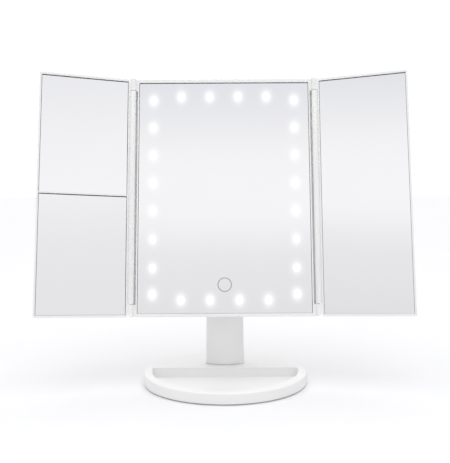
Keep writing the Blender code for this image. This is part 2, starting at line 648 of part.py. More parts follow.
def build_electronics(head):
    """One ring-shaped light board, the control board, the USB socket and the touch sensor's spring."""
    front = WEB_BACK + GAP
    half = STRIP_WIDTH / 2
    outer_x, inner_x = LED_COLUMN_X + half, LED_COLUMN_X - half
    top, bottom = LED_TOP_ROW + half, LED_BOTTOM_ROW - half
    lights = box("led_board", (-outer_x, outer_x), (front, front + STRIP_THICKNESS), (bottom, top), head, BOARD_WHITE)
    cut(
        lights,
        box("led_board_opening", (-inner_x, inner_x), (0.0, 20.0), (bottom + STRIP_WIDTH, top - STRIP_WIDTH), head),
    )
    side = LED_SIDE / 2
    for number, (x, z) in enumerate(led_places(), 1):
        led = box(f"led_{number}", (x - side, x + side), (front - LED_HEIGHT, front + 0.2), (z - side, z + side), head)
        join(lights, led)
    board = box("control_board", (-14.0, 56.0), (front, front + 1.2), (-89.0, -71.0), head, BOARD_GREEN)
    chips = (
        ("touch_chip", (-3, 3), (-83, -78)),
        ("driver_chip", (14, 19), (-82, -78)),
        ("inductor", (26, 32), (-84, -78)),
    )
    for name, x, z in chips:
        join(board, box(name, x, (front + 1.0, front + 2.8), z, head))
    socket = box("usb_socket", (USB_X - 3.9, USB_X + 3.9), (5.7, 12.0), (USB_Z - 1.5, USB_Z + 1.5), head, STEEL)
    bevel(socket, 0.5, 1)
    cut(socket, box("usb_mouth", (USB_X - 3.4, USB_X + 3.4), (8.0, 14.0), (USB_Z - 1.0, USB_Z + 1.0), head))
    coil("touch_spring", (2.2, 4.0), (3.7, 2.6), (0.0, 0.0, TOUCH_Z), "Y", 3, 0.18, head, STEEL)
    points = ((50.0, 6.1, -73.0), (55.0, 6.8, -70.0), (61.0, 6.2, -66.0), (64.0, 5.8, -64.0))
    wire("led_lead", points, 0.5, head, RED_WIRE)


def build_batteries(head, door_frame):
    """Four AA cells in series with their contacts and springs, two leads, and the sliding door."""
    for index in range(4):
        number = index + 1
        side = 1 if index % 2 == 0 else -1  # which way this cell's positive end points
        z = BOX_CENTRE_Z + (1.5 - index) * CELL_PITCH
        centre = (0.0, CELL_Y, z)
        nub_end = CONTACT_X - GAP
        shoulder = nub_end - 1.5
        tail = nub_end - CELL_LENGTH
        cell = rod(
            f"battery_cell_{number}", CELL_RADIUS, centre, "X", sorted((side * tail, side * shoulder)), head,
            CELL_WRAP, segments=28,
        )
        join(cell, rod(f"cell_nub_{number}", 2.75, centre, "X", sorted((side * (shoulder - 1), side * nub_end)), head, segments=16))
        start = -CONTACT_X + GAP + 0.5
        coil(
            f"battery_spring_{number}", (5.0, 2.6), (side * start, side * (tail - GAP - 0.5)), centre, "X",
            4, 0.4, head, STEEL,
        )
    plates = (
        ("battery_contact_left_upper", -1, 0.0, 1.0),
        ("battery_contact_left_lower", -1, 2.0, 3.0),
        ("battery_contact_right_upper", 1, 0.0, 0.0),
        ("battery_contact_right_middle", 1, 1.0, 2.0),
        ("battery_contact_right_lower", 1, 3.0, 3.0),
    )
    for name, side, first, last in plates:
        high = BOX_CENTRE_Z + (1.5 - first) * CELL_PITCH + 6.0
        low = BOX_CENTRE_Z + (1.5 - last) * CELL_PITCH - 6.0
        span = sorted((side * CONTACT_X, side * (CONTACT_X + 0.5)))
        box(name, span, (POCKET_FLOOR + 1.2, 23.0), (low, high), head, STEEL)
    for name, end, drop_x, material in (
        ("battery_lead_positive", 1, 40.0, RED_WIRE), ("battery_lead_negative", -1, 24.0, BLACK_WIRE)
    ):
        z = BOX_CENTRE_Z + end * 1.5 * CELL_PITCH
        points = (
            (30.2, POCKET_FLOOR + 0.9, z), (30.0, POCKET_FLOOR - 0.6, z), (30.0, 7.6, z - 1.0), (drop_x, 6.4, z - 12.0),
            (drop_x, 6.2, -52.0), (drop_x - 1.0, 6.2, -66.0), (drop_x - 2.0, 6.2, -73.5),
        )
        wire(name, points, 0.55, head, material)
    low = BOX_CENTRE_Z - POCKET_HALF_HEIGHT - 1.5 + GAP
    high = BOX_CENTRE_Z + BOX_HALF_HEIGHT
    door = box("battery_door", (-34.1, 34.1), (DOOR_FRONT, DOOR_STEP), (low, high), door_frame, WHITE_ABS)
    join(door, box("door_face", (-32.1, 32.1), (DOOR_STEP - 0.3, BOX_BACK), (low, high), door_frame))
    for row in range(4):
        z = low + 6.0 + row * 2.4
        join(door, box(f"door_rib_{row}", (-9.0, 9.0), (BOX_BACK - 0.4, BOX_BACK + 0.6), (z, z + 1.0), door_frame))


def build_wing(side, word, axis):
    """One wing: a shallow tray with its hinge barrel, and its mirror or its two magnifying mirrors."""
    half_h = FRAME_HALF_HEIGHT
    front = WING_GLASS_FRONT - LIP
    tray = box(
        f"{word}_wing_frame", (side * WING_INNER, side * WING_OUTER), (front, WING_BACK), (-half_h, half_h), axis, WHITE_ABS
    )
    bevel(tray, 0.5, 1)
    barrel_half = half_h - KNUCKLE_HEIGHT - 0.4
    join(
        tray,
        rod(f"{word}_barrel", BARREL_RADIUS, (0.0, 0.0, 0.0), "Z", (-barrel_half, barrel_half), axis),
        box(f"{word}_barrel_web", (side * 1.0, side * (WING_INNER + 0.6)), (0.6, 2.4), (-barrel_half, barrel_half), axis),
    )
    x = (side * WING_GLASS_INNER, side * WING_GLASS_OUTER)
    floor = WING_GLASS_FRONT + GLASS_THICKNESS + GAP
    rows = [("mirror", -WING_GLASS_HALF_HEIGHT, WING_GLASS_HALF_HEIGHT)]
    if side < 0:
        rows = [
            ("upper_mirror", WING_DIVIDER / 2, WING_GLASS_HALF_HEIGHT),
            ("lower_mirror", -WING_GLASS_HALF_HEIGHT, -WING_DIVIDER / 2),
        ]
    for name, low, high in rows:
        cut(tray, box(f"{word}_{name}_pocket", x, (front - 2, floor), (low, high), axis))
        inner = (side * (WING_GLASS_INNER + GAP), side * (WING_GLASS_OUTER - GAP))
        glass_y = (WING_GLASS_FRONT, WING_GLASS_FRONT + GLASS_THICKNESS)
        box(f"{word}_wing_{name}", inner, glass_y, (low + GAP, high - GAP), axis, MIRROR)
    for end in (-1, 1):
        span = sorted((end * (barrel_half + 2), end * (barrel_half - PIN_LENGTH / 2)))
        cut(tray, rod(f"{word}_barrel_bore_{end}", HINGE_PIN_BORE, (0.0, 0.0, 0.0), "Z", span, axis, segments=12))


def main():
    """Builds every sub-assembly in its own frame."""
    build_base()
    build_stem()
    tilt_axis = empty("tilt_axis", TILT_AXIS, rotation=(-HEAD_LEAN_DEG, 0.0, 0.0))
    head = empty("head_frame", (0.0, -AXIS_DEPTH, AXIS_BELOW_CENTRE), tilt_axis)
    door_frame = empty("door_frame", (0.0, 0.0, 0.0), head)
    build_pivot_fasteners(head)
    build_front_frame(head)
    build_glass(head)
    build_hinge_pins(head)
    build_rear_cover(head)
    build_electronics(head)
    build_batteries(head, door_frame)
    for side, word in ((-1, "left"), (1, "right")):
        axis = empty(
            f"{word}_wing_axis", (side * HINGE_X, HINGE_Y, 0.0), head, (0.0, 0.0, -side * WING_FOLD_DEG)
        )
        build_wing(side, word, axis)


clear_scene()
PARTS = new_collection("vanity_mirror")
CUTTERS = new_collection("cutters", hidden=True)
WHITE_ABS = finish("white_abs", (0.86, 0.86, 0.85), 0.35)
GREY_ABS = finish("grey_abs", (0.60, 0.60, 0.60), 0.45)
MIRROR = finish("mirror", (0.92, 0.93, 0.94), 0.03, 1.0)
STEEL = finish("steel", (0.62, 0.62, 0.63), 0.30, 1.0)
RUBBER = finish("rubber", (0.10, 0.10, 0.10), 0.80)
BOARD_WHITE = finish("board_white", (0.88, 0.88, 0.86), 0.50)
BOARD_GREEN = finish("board_green", (0.05, 0.25, 0.12), 0.45)
CELL_WRAP = finish("cell_wrap", (0.12, 0.20, 0.32), 0.35)
RED_WIRE = finish("red_wire", (0.60, 0.05, 0.05), 0.50)
BLACK_WIRE = finish("black_wire", (0.04, 0.04, 0.04), 0.50)
main()
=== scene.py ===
"""Lighted vanity mirror with three panels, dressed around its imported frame.

Sizes are in millimetres unless a name or comment says otherwise. Pieces of the head are shaped in the
head's own frame (X right, Y backwards from the centre glass, Z up the glass from its centre), and
pieces of a wing in that wing's frame (Z along its hinge, Y backwards). They are then set in the world.
"""

import json
import logging
import math
from dataclasses import dataclass
from enum import Enum
from typing import Callable, Iterable, Sequence

import bmesh
import bpy
from mathutils import Matrix, Vector

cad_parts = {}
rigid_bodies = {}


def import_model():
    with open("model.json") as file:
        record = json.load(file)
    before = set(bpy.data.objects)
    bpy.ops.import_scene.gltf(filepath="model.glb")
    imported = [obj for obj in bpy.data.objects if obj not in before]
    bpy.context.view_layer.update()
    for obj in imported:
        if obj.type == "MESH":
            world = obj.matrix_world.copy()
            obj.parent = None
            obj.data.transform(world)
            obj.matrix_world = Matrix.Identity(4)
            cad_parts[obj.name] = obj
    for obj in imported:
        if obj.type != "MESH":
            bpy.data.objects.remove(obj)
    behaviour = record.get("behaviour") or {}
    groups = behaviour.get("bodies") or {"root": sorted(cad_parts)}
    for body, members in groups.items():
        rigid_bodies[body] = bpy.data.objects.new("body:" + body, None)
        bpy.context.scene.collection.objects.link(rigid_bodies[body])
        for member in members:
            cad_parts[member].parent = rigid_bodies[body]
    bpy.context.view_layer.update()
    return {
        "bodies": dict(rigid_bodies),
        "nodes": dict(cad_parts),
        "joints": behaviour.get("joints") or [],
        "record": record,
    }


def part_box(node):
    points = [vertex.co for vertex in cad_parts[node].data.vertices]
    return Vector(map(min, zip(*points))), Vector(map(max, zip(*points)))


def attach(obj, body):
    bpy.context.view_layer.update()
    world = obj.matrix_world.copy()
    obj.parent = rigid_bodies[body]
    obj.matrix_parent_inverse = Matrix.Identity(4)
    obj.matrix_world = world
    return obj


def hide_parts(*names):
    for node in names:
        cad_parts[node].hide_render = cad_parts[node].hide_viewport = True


MM = 0.001
WELD = 1e-6  # metres within which corners are one
HAIR = 0.01  # how near a plane a corner counts as on it
PLAY = 0.3  # between a glass and its pocket, all round
PILOT_BORE, CLEAR_BORE = 1.5, 1.6  # radii of a screw's two holes
WING_FOLD = 16.0  # degrees that each wing is folded forwards at rest
LOG = logging.getLogger("vanity_mirror")
Span = tuple[float, float]
Point = tuple[float, float, float]
Obj = bpy.types.Object
Test = Callable[[Vector, Vector], bool]


# ---------------------------------------------------------------- colour and nodes

def linear(code: str) -> tuple[float, float, float, float]:
    """Turns an sRGB colour into a linear one.

    Args:
        code: six hex digits, such as "f2f2ef".

    Returns:
        Linear red, green and blue, and an alpha of 1.
    """
    values = [int(code[at:at + 2], 16) / 255 for at in (0, 2, 4)]
    red, green, blue = (v / 12.92 if v <= 0.04045 else ((v + 0.055) / 1.055) ** 2.4 for v in values)
    return red, green, blue, 1.0


def add_node(
    tree: bpy.types.NodeTree, kind: str, inputs: dict | None = None,
    stops: Sequence[tuple[float, str]] = (), **settings: object,
) -> bpy.types.Node:
    """Adds a node with its settings, values and links.

    Args:
        tree: the node tree to add to.
        kind: the node's class name without "ShaderNode".
        inputs: socket name or number to a value, or to an output socket that is linked to it.
        stops: for a colour ramp, each stop's position and sRGB hex value, in order.
        **settings: attributes of the node itself.

    Returns:
        The new node.
    """
    node = tree.nodes.new("ShaderNode" + kind)
    for name, value in settings.items():
        setattr(node, name, value)
    while stops and len(node.color_ramp.elements) < len(stops):
        node.color_ramp.elements.new(0.5)
    for (position, code), element in zip(stops, node.color_ramp.elements if stops else ()):
        element.position = position
        element.color = linear(code)
    for key, value in (inputs or {}).items():
        if isinstance(value, bpy.types.NodeSocket):
            tree.links.new(value, node.inputs[key])
        else:
            node.inputs[key].default_value = value
    return node


# ---------------------------------------------------------------- finishes

class Skin(Enum):
    """What a surface's fine relief is: its texture and the output that is read."""

    GRAIN = ("TexNoise", "Fac")
    PEBBLE = ("TexVoronoi", "Distance")
    TRACKS = ("TexBrick", "Fac")


@dataclass(frozen=True)
class Finish:
    """A real material and how its surface was made: broad drifts of tone, finer ones of gloss, and a skin."""

    name: str
    colour: str
    shade: str  # the tone that its colour drifts to
    roughness: float
    drift: float  # size of a drift in tone; drifts in gloss are finer
    skin_size: float
    skin_depth: float
    skin: Skin = Skin.GRAIN
    spread: float = 0.05  # how far its roughness strays
    metallic: float = 0.0
    ior: float = 1.5

    def material(self) -> bpy.types.Material:
        """Makes the finish's material, on first use.

        Returns:
            The material.
        """
        found = bpy.data.materials.get(self.name)
        if found:
            return found
        made = bpy.data.materials.new(self.name)
        made.use_nodes = True
        tree = made.node_tree
        shader = tree.nodes["Principled BSDF"]
        shader.inputs["Metallic"].default_value = self.metallic
        if not self.metallic:
            shader.inputs["IOR"].default_value = self.ior
        at = add_node(tree, "TexCoord").outputs["Object"]
        self.dress(tree, shader, at)
        self.light(tree, shader, at)
        return made

    def dress(self, tree: bpy.types.NodeTree, shader: bpy.types.Node, at: bpy.types.NodeSocket) -> None:
        """Adds the drifts of tone and gloss and the skin.

        Args:
            tree: the material's nodes.
            shader: its Principled BSDF.
            at: a point's place on the object, in metres.
        """
        broad = add_node(tree, "TexNoise", {"Vector": at, "Scale": 1 / (self.drift * MM), "Detail": 3.0})
        tones = ((0.35, self.shade), (0.65, self.colour))
        tone = add_node(tree, "ValToRGB", {"Fac": broad.outputs["Fac"]}, tones)
        tree.links.new(tone.outputs["Color"], shader.inputs["Base Color"])
        fine = add_node(tree, "TexNoise", {"Vector": at, "Scale": 8 / (self.drift * MM), "Detail": 4.0})
        gloss = add_node(tree, "MapRange", {
            "Value": fine.outputs["Fac"], "From Min": 0.3, "From Max": 0.7,
            "To Min": self.roughness - self.spread, "To Max": self.roughness + self.spread,
        })
        tree.links.new(gloss.outputs["Result"], shader.inputs["Roughness"])
        if self.skin_depth:
            kind, output = self.skin.value
            relief = add_node(tree, kind, {"Vector": at, "Scale": 1 / (self.skin_size * MM)})
            bump = add_node(tree, "Bump", {
                "Height": relief.outputs[output], "Strength": 0.5, "Distance": self.skin_depth * MM,
            })
            tree.links.new(bump.outputs["Normal"], shader.inputs["Normal"])

    def light(self, tree: bpy.types.NodeTree, shader: bpy.types.Node, at: bpy.types.NodeSocket) -> None:
        """Adds the finish's own light; most have none."""


@dataclass(frozen=True)
class FrostedLight(Finish):
    """An acid-frosted window in the silvering with a white light close behind it."""

    power: float = 1.6

    def light(self, tree: bpy.types.NodeTree, shader: bpy.types.Node, at: bpy.types.NodeSocket) -> None:
        """Adds white light, which the frost's grain makes a little uneven.

        Args:
            tree: the material's nodes.
            shader: its Principled BSDF.
            at: a point's place on the object, in metres.
        """
        frost = add_node(tree, "TexNoise", {"Vector": at, "Scale": 1 / (self.skin_size * MM)})
        power = add_node(tree, "MapRange", {
            "Value": frost.outputs["Fac"], "To Min": 0.95 * self.power, "To Max": 1.05 * self.power,
        })
        tree.links.new(power.outputs["Result"], shader.inputs["Emission Strength"])
        shader.inputs["Emission Color"].default_value = linear("ffffff")


@dataclass(frozen=True)
class LitGlass(Finish):
    """Silvered glass with lights behind it, and a painted glow round each of its windows: the glass itself
    gives off light there, though it is no lamp.
    """

    lean: float = 0.0  # degrees
    centre: Point = (0.0, 0.0, 0.0)  # of the glass, in metres
    column_x: float = 0.0
    column_top: float = 0.0
    column_pitch: float = 1.0
    row_pitch: float = 1.0
    row_z: Span = (0.0, 0.0)
    row_end: float = 52.0
    reach: float = 4.3
    glow: float = 0.34
    squash: float = 0.78  # width of a window's glow over its height
    fade_z: Span = (40.0, 90.0)  # the glow halves from the second height to the first

    def light(self, tree: bpy.types.NodeTree, shader: bpy.types.Node, at: bpy.types.NodeSocket) -> None:
        """Adds the painted glow, which fades with the distance to the nearest window.

        Args:
            tree: the material's nodes.
            shader: its Principled BSDF.
            at: a point's place on the object, in metres.
        """
        flat = add_node(tree, "Mapping", {
            "Vector": at, "Location": self.centre, "Rotation": (-math.radians(self.lean), 0.0, 0.0),
            "Scale": (MM, MM, MM),
        }, vector_type="TEXTURE")
        parts = add_node(tree, "SeparateXYZ", {"Vector": flat.outputs["Vector"]})
        half_row, far = self.row_pitch / 2, 1000.0
        sums = [
            ("across", "ABSOLUTE", "x", 0.0),
            ("column_x", "SUBTRACT", "across", self.column_x),
            ("even", "SUBTRACT", "z", self.column_top),
            ("even", "PINGPONG", "even", self.column_pitch / 2),
            ("corner", "LESS_THAN", "z", self.column_pitch / 2 - self.column_top),
            ("corner", "MULTIPLY", "corner", far),
            ("even", "ADD", "even", "corner"),
            ("lowest", "ADD", "z", self.column_top),
            ("lowest", "ABSOLUTE", "lowest", 0.0),
            ("column_z", "MINIMUM", "even", "lowest"),
            ("row_x", "PINGPONG", "across", half_row),
            ("row_x", "SUBTRACT", half_row, "row_x"),
            ("beyond", "GREATER_THAN", "across", self.row_end),
            ("beyond", "MULTIPLY", "beyond", far),
            ("row_x", "ADD", "row_x", "beyond"),
            ("top", "SUBTRACT", "z", self.row_z[0]),
            ("top", "ABSOLUTE", "top", 0.0),
            ("bottom", "SUBTRACT", "z", self.row_z[1]),
            ("bottom", "ABSOLUTE", "bottom", 0.0),
            ("row_z", "MINIMUM", "top", "bottom"),
        ]
        for line in ("column", "row"):
            sums += [
                (line + "_z", "MULTIPLY", line + "_z", self.squash),
                (line + "_z", "POWER", line + "_z", 2.0),
                (line + "_x", "POWER", line + "_x", 2.0),
                (line, "ADD", line + "_x", line + "_z"),
            ]
        sums += [
            ("nearest", "MINIMUM", "column", "row"),
            ("nearest", "DIVIDE", "nearest", -self.reach ** 2),
            ("fade", "EXPONENT", "nearest", 0.0),
            ("height", "ABSOLUTE", "z", 0.0),
        ]
        values = {"x": parts.outputs["X"], "z": parts.outputs["Z"]}
        for name, operation, first, second in sums:
            inputs = {0: values.get(first, first), 1: values.get(second, second)}
            values[name] = add_node(tree, "Math", inputs, operation=operation).outputs[0]
        # the painted glow is made weaker half-way up, where the glass shows the bright part of the room
        power = add_node(tree, "MapRange", {
            "Value": values["height"], "From Min": self.fade_z[0], "From Max": self.fade_z[1],
            "To Min": 0.5 * self.glow, "To Max": self.glow,
        })
        glow = add_node(tree, "Math", {0: values["fade"], 1: power.outputs["Result"]}, operation="MULTIPLY")
        tree.links.new(glow.outputs[0], shader.inputs["Emission Strength"])
        shader.inputs["Emission Color"].default_value = linear("ffffff")


# A grain finer than about 0.3 mm wouldn't show. Spark texture, turning and grinding marks, pebbling and print
# dots are finer than that, so each is drawn coarser than it is.
# Injection-moulded ABS: satin, from the mould's fine spark texture, with faint broad flow marks.
WHITE_ABS = Finish("injection_moulded_white_abs", "f3f3f2", "f1f1f0", 0.36, 60.0, 0.45, 0.004, ior=1.53)
# The same plastic with grey pigment and a coarser texture, which hides rubbing at the pivot.
GREY_ABS = Finish("injection_moulded_grey_abs", "b9b9b7", "b0b0ae", 0.42, 40.0, 0.6, 0.01, ior=1.53)
# Zinc-plated steel: fine turning lines blur its highlights, and the zinc is slightly stained.
STEEL = Finish("zinc_plated_steel", "cccdcf", "b4b6ba", 0.32, 4.0, 0.35, 0.003, spread=0.1, metallic=1.0)
# Compression-moulded rubber: matt and pebbled, with a pale bloom.
RUBBER = Finish("compression_moulded_rubber", "3c3c3b", "555553", 0.85, 3.0, 0.6, 0.03, Skin.PEBBLE, ior=1.52)
# Silvered float glass: almost flawless, with a trace of haze that softens what it mirrors.
MIRROR = Finish("silvered_float_glass", "f8f8f9", "f7f7f8", 0.024, 60.0, 1.0, 0.0, spread=0.01, metallic=1.0)
# The glass's ground edge under dark protective paint: a fine dark line round each mirror. Along each mirror's
# top, the same dark finish is also a wider painted shadow line. It stands for the lip's shade and the lip's
# dark underside mirrored in the glass.
DARK_EDGE_AND_SHADOW_LINE = Finish("ground_glass_edge_and_painted_shadow_line", "5c605f", "4c504f", 0.55, 9.0, 0.2, 0.01, ior=1.52)
# Acid-frosted glass with a light behind it: evenly bright, with no hot spot.
FROST = FrostedLight("frosted_light_window", "ffffff", "fafafa", 0.5, 3.0, 0.5, 0.004, ior=1.52)
# Screen-printed ink: matt grey, pebbled by the screen's dots.
INK = Finish("screen_printed_grey_ink", "a9aaae", "a4a5a9", 0.6, 6.0, 0.3, 0.01, Skin.PEBBLE)
# Solder mask over copper tracks, which show as low ridges; white throws the light forwards.
WHITE_BOARD = Finish("white_solder_mask", "f0f0ec", "e8e8e3", 0.45, 12.0, 2.4, 0.03, Skin.TRACKS, spread=0.1)
GREEN_BOARD = Finish("green_solder_mask", "1f5a3c", "1a5035", 0.40, 12.0, 2.4, 0.03, Skin.TRACKS, spread=0.1)
# Heat-shrunk PVC sleeve: glossy, with slight ripples.
SLEEVE = Finish("blue_shrink_sleeve", "3a4f6c", "34485f", 0.28, 20.0, 1.6, 0.05, ior=1.54)
# Extruded PVC sheath: semi-gloss, with a faint lengthwise wave.
RED_PVC = Finish("red_pvc_sheath", "b02a26", "a22420", 0.40, 10.0, 1.6, 0.03, ior=1.54)
BLACK_PVC = Finish("black_pvc_sheath", "242424", "2c2c2c", 0.40, 10.0, 1.6, 0.03, ior=1.54)
# High-pressure laminate: a plain pale table with a dull sheen.
LAMINATE = Finish("white_laminate_table", "f3f3f4", "f2f2f3", 0.70, 200.0, 0.8, 0.01)
SLOT_FINISH = {
    "white_abs": WHITE_ABS, "grey_abs": GREY_ABS, "steel": STEEL, "rubber": RUBBER, "mirror": MIRROR,
    "board_white": WHITE_BOARD, "board_green": GREEN_BOARD, "cell_wrap": SLEEVE, "red_wire": RED_PVC,
    "black_wire": BLACK_PVC,
}


# ---------------------------------------------------------------- modelling by hand

class Axis(Enum):
    """An axis that a round primitive lies along, with the turn that lays it there."""

    X = (0.0, math.pi / 2, 0.0)
    Y = (-math.pi / 2, 0.0, 0.0)
    Z = (0.0, 0.0, 0.0)

    def direction(self) -> Vector:
        """Returns the unit vector along the axis."""
        return Vector([float(letter == self.name) for letter in "XYZ"])


def shift(x: float, y: float, z: float) -> Matrix:
    """Returns the matrix that moves by so many millimetres."""
    return Matrix.Translation(Vector((x, y, z)) * MM)


def on(axis: str, place: float) -> Test:
    """Returns the test for an edge that lies in the plane at a place on an axis, "x", "y" or "z"."""
    return lambda a, b: all(abs(getattr(end, axis) - place) < HAIR for end in (a, b))


def everything(first: Vector, second: Vector) -> bool:
    """Passes every corner, edge and face."""
    return True


def along(axis: str, least: float = 1.0) -> Test:
    """Returns the test for an edge that runs along an axis by at least so much."""
    return lambda a, b: abs(getattr(a, axis) - getattr(b, axis)) > least


class Bench:
    """The modelling steps that every sub-assembly shares. Places and sizes are in millimetres."""

    @staticmethod
    def only(*objects: Obj) -> None:
        """Selects these objects alone and makes the first one active.

        Args:
            *objects: what is selected.
        """
        bpy.ops.object.select_all(action="DESELECT")
        for obj in objects:
            obj.select_set(True)
        bpy.context.view_layer.objects.active = objects[0]

    @classmethod
    def apply(cls, obj: Obj, place: Matrix | None = None) -> Obj:
        """Puts an object's place into its mesh.

        Args:
            obj: the object.
            place: a matrix that is its place from now on; the one it has if this is left out.

        Returns:
            The object, which then sits at the origin.
        """
        if place is not None:
            obj.matrix_world = place
        cls.only(obj)
        bpy.ops.object.transform_apply(location=True, rotation=True, scale=True)
        return obj

    @classmethod
    def block(cls, x: Span, y: Span, z: Span) -> Obj:
        """Adds a box.

        Args:
            x: its left and right.
            y: its front and back.
            z: its bottom and top.

        Returns:
            The box.
        """
        bpy.ops.object.select_all(action="DESELECT")
        spans = [sorted(pair) for pair in (x, y, z)]
        bpy.ops.mesh.primitive_cube_add(
            size=1.0, location=[(low + high) / 2 * MM for low, high in spans],
            scale=[(high - low) * MM for low, high in spans],
        )
        return cls.apply(bpy.context.object)

    @classmethod
    def drum(
        cls, radius: float, axis: Axis, span: Span, at: Point = (0.0, 0.0, 0.0), sides: int = 48,
        stretch: float = 1.0, end_radius: float | None = None,
    ) -> Obj:
        """Adds a cylinder, an oval or a cone.

        Args:
            radius: at the low end of the span.
            axis: the axis it lies along.
            span: its two ends on the axis.
            at: a point on its axis; the coordinate along the axis is taken from span.
            sides: how many sides stand in for the round.
            stretch: its depth over its width.
            end_radius: at the high end, if that differs.

        Returns:
            The object.
        """
        bpy.ops.object.select_all(action="DESELECT")
        low, high = sorted(span)
        middle = [(low + high) / 2 if letter == axis.name else value for letter, value in zip("XYZ", at)]
        bpy.ops.mesh.primitive_cone_add(
            vertices=sides, radius1=radius * MM, radius2=(radius if end_radius is None else end_radius) * MM,
            depth=(high - low) * MM, location=[value * MM for value in middle], rotation=axis.value,
            scale=(1.0, stretch, 1.0),
        )
        return cls.apply(bpy.context.object)

    @classmethod
    def pick(cls, obj: Obj, kind: str, test: Test) -> None:
        """Opens edit mode with just the corners, edges or faces selected that pass a test.

        Args:
            obj: the piece.
            kind: "VERT", "EDGE" or "FACE".
            test: takes an edge's two ends in millimetres, or a face's or a corner's place and its normal.
        """
        cls.only(obj)
        bpy.ops.object.mode_set(mode="EDIT")
        bpy.ops.mesh.select_mode(type=kind)
        bpy.ops.mesh.select_all(action="DESELECT")
        mesh = bmesh.from_edit_mesh(obj.data)
        if kind == "EDGE":
            found = [edge for edge in mesh.edges if test(*(vert.co / MM for vert in edge.verts))]
        elif kind == "FACE":
            found = [face for face in mesh.faces if test(face.calc_center_median() / MM, face.normal)]
        else:
            found = [vert for vert in mesh.verts if test(vert.co / MM, vert.normal)]
        for element in found:
            element.select_set(True)
        bmesh.update_edit_mesh(obj.data)

    @staticmethod
    def leave() -> None:
        """Goes back to object mode."""
        bpy.ops.object.mode_set(mode="OBJECT")

    @classmethod
    def round_edges(cls, obj: Obj, width: float, segments: int, test: Test) -> None:
        """Rounds the edges that pass a test, in edit mode, and merges corners that meet.

        Args:
            obj: the piece.
            width: of the rounding.
            segments: how many flats stand in for it.
            test: takes an edge's two ends.
        """
        cls.pick(obj, "EDGE", test)
        bpy.ops.mesh.bevel(
            offset=width * MM, segments=segments, profile=0.5, affect="EDGES", clamp_overlap=True
        )
        bpy.ops.mesh.select_all(action="SELECT")
        bpy.ops.mesh.remove_doubles(threshold=WELD)
        cls.leave()

    @classmethod
    def score(cls, obj: Obj, axis: Axis, places: Iterable[float]) -> None:
        """Cuts new edges into a piece's faces where they cross planes.

        Args:
            obj: the piece.
            axis: the axis that the planes stand across.
            places: where they cross it.
        """
        normal = axis.direction()
        for place in places:
            cls.pick(obj, "FACE", everything)
            bpy.ops.mesh.bisect(plane_co=normal * place * MM, plane_no=normal)
            cls.leave()

    @classmethod
    def ease(cls, obj: Obj, width: float, segments: int = 2, angle: float = 40.0) -> None:
        """Rounds every sharp edge, with a Bevel that is applied.

        Args:
            obj: the piece.
            width: of the rounding.
            segments: how many flats stand in for it.
            angle: the least angle that counts as sharp, in degrees.
        """
        modifier = obj.modifiers.new("Ease", "BEVEL")
        modifier.width = width * MM
        modifier.segments = segments
        modifier.limit_method = "ANGLE"
        modifier.angle_limit = math.radians(angle)
        modifier.use_clamp_overlap = True
        cls.only(obj)
        bpy.ops.object.modifier_apply(modifier=modifier.name)

    @classmethod
    def copy(cls, obj: Obj, place: Matrix | None = None) -> Obj:
        """Copies an object with a mesh of its own.

        Args:
            obj: the object.
            place: how the copy is moved, if it is.

        Returns:
            The copy.
        """
        twin = obj.copy()
        twin.data = obj.data.copy()
        bpy.context.scene.collection.objects.link(twin)
        return cls.apply(twin, place) if place is not None else twin

    @classmethod
    def repeat(cls, obj: Obj, places: Iterable[Matrix | Point]) -> list[Obj]:
        """Copies a modelled piece to each of several places.

        Args:
            obj: the piece, which is then removed.
            places: how each copy is moved, as a matrix or in millimetres.

        Returns:
            The copies, each with its own mesh.
        """
        copies = [cls.copy(obj, place if isinstance(place, Matrix) else shift(*place)) for place in places]
        bpy.data.objects.remove(obj, do_unlink=True)
        return copies

    @classmethod
    def gather(cls, pieces: Sequence[Obj]) -> Obj:
        """Makes one object of several that don't touch, such as a set of cutters.

        Args:
            pieces: the objects, of which the first takes up the others.

        Returns:
            The one object.
        """
        cls.only(*pieces)
        bpy.ops.object.join()
        return bpy.context.view_layer.objects.active

    @classmethod
    def combine(cls, obj: Obj, others: Iterable[Obj], operation: str) -> None:
        """Applies a Boolean of a piece with each of the others, and removes them.

        Args:
            obj: the piece.
            others: what it is combined with.
            operation: "DIFFERENCE", "UNION" or "INTERSECT".
        """
        for other in others:
            modifier = obj.modifiers.new("Shape", "BOOLEAN")
            modifier.operation = operation
            modifier.solver = "EXACT"
            modifier.object = other
            cls.only(obj)
            bpy.ops.object.modifier_apply(modifier=modifier.name)
            bpy.data.objects.remove(other, do_unlink=True)

    @classmethod
    def carve(cls, obj: Obj, *cutters: Obj) -> None:
        """Takes the cutters' shapes out of a piece."""
        cls.combine(obj, cutters, "DIFFERENCE")

    @classmethod
    def weld(cls, obj: Obj, *others: Obj) -> None:
        """Joins the others' shapes to a piece."""
        cls.combine(obj, others, "UNION")

    @classmethod
    def refine(cls, node: Obj, width: float = 0.0) -> Obj:
        """Copies a frame node, merges its corners and rounds its edges.

        Args:
            node: the frame node.
            width: of the rounding; none if 0.

        Returns:
            The copy.
        """
        obj = cls.copy(node)
        obj.parent = None
        for key in list(obj.keys()):
            del obj[key]
        cls.pick(obj, "VERT", everything)
        bpy.ops.mesh.remove_doubles(threshold=WELD)
        bpy.ops.mesh.dissolve_limited(angle_limit=math.radians(1))
        cls.leave()
        if width:
            cls.ease(obj, width)
        return obj

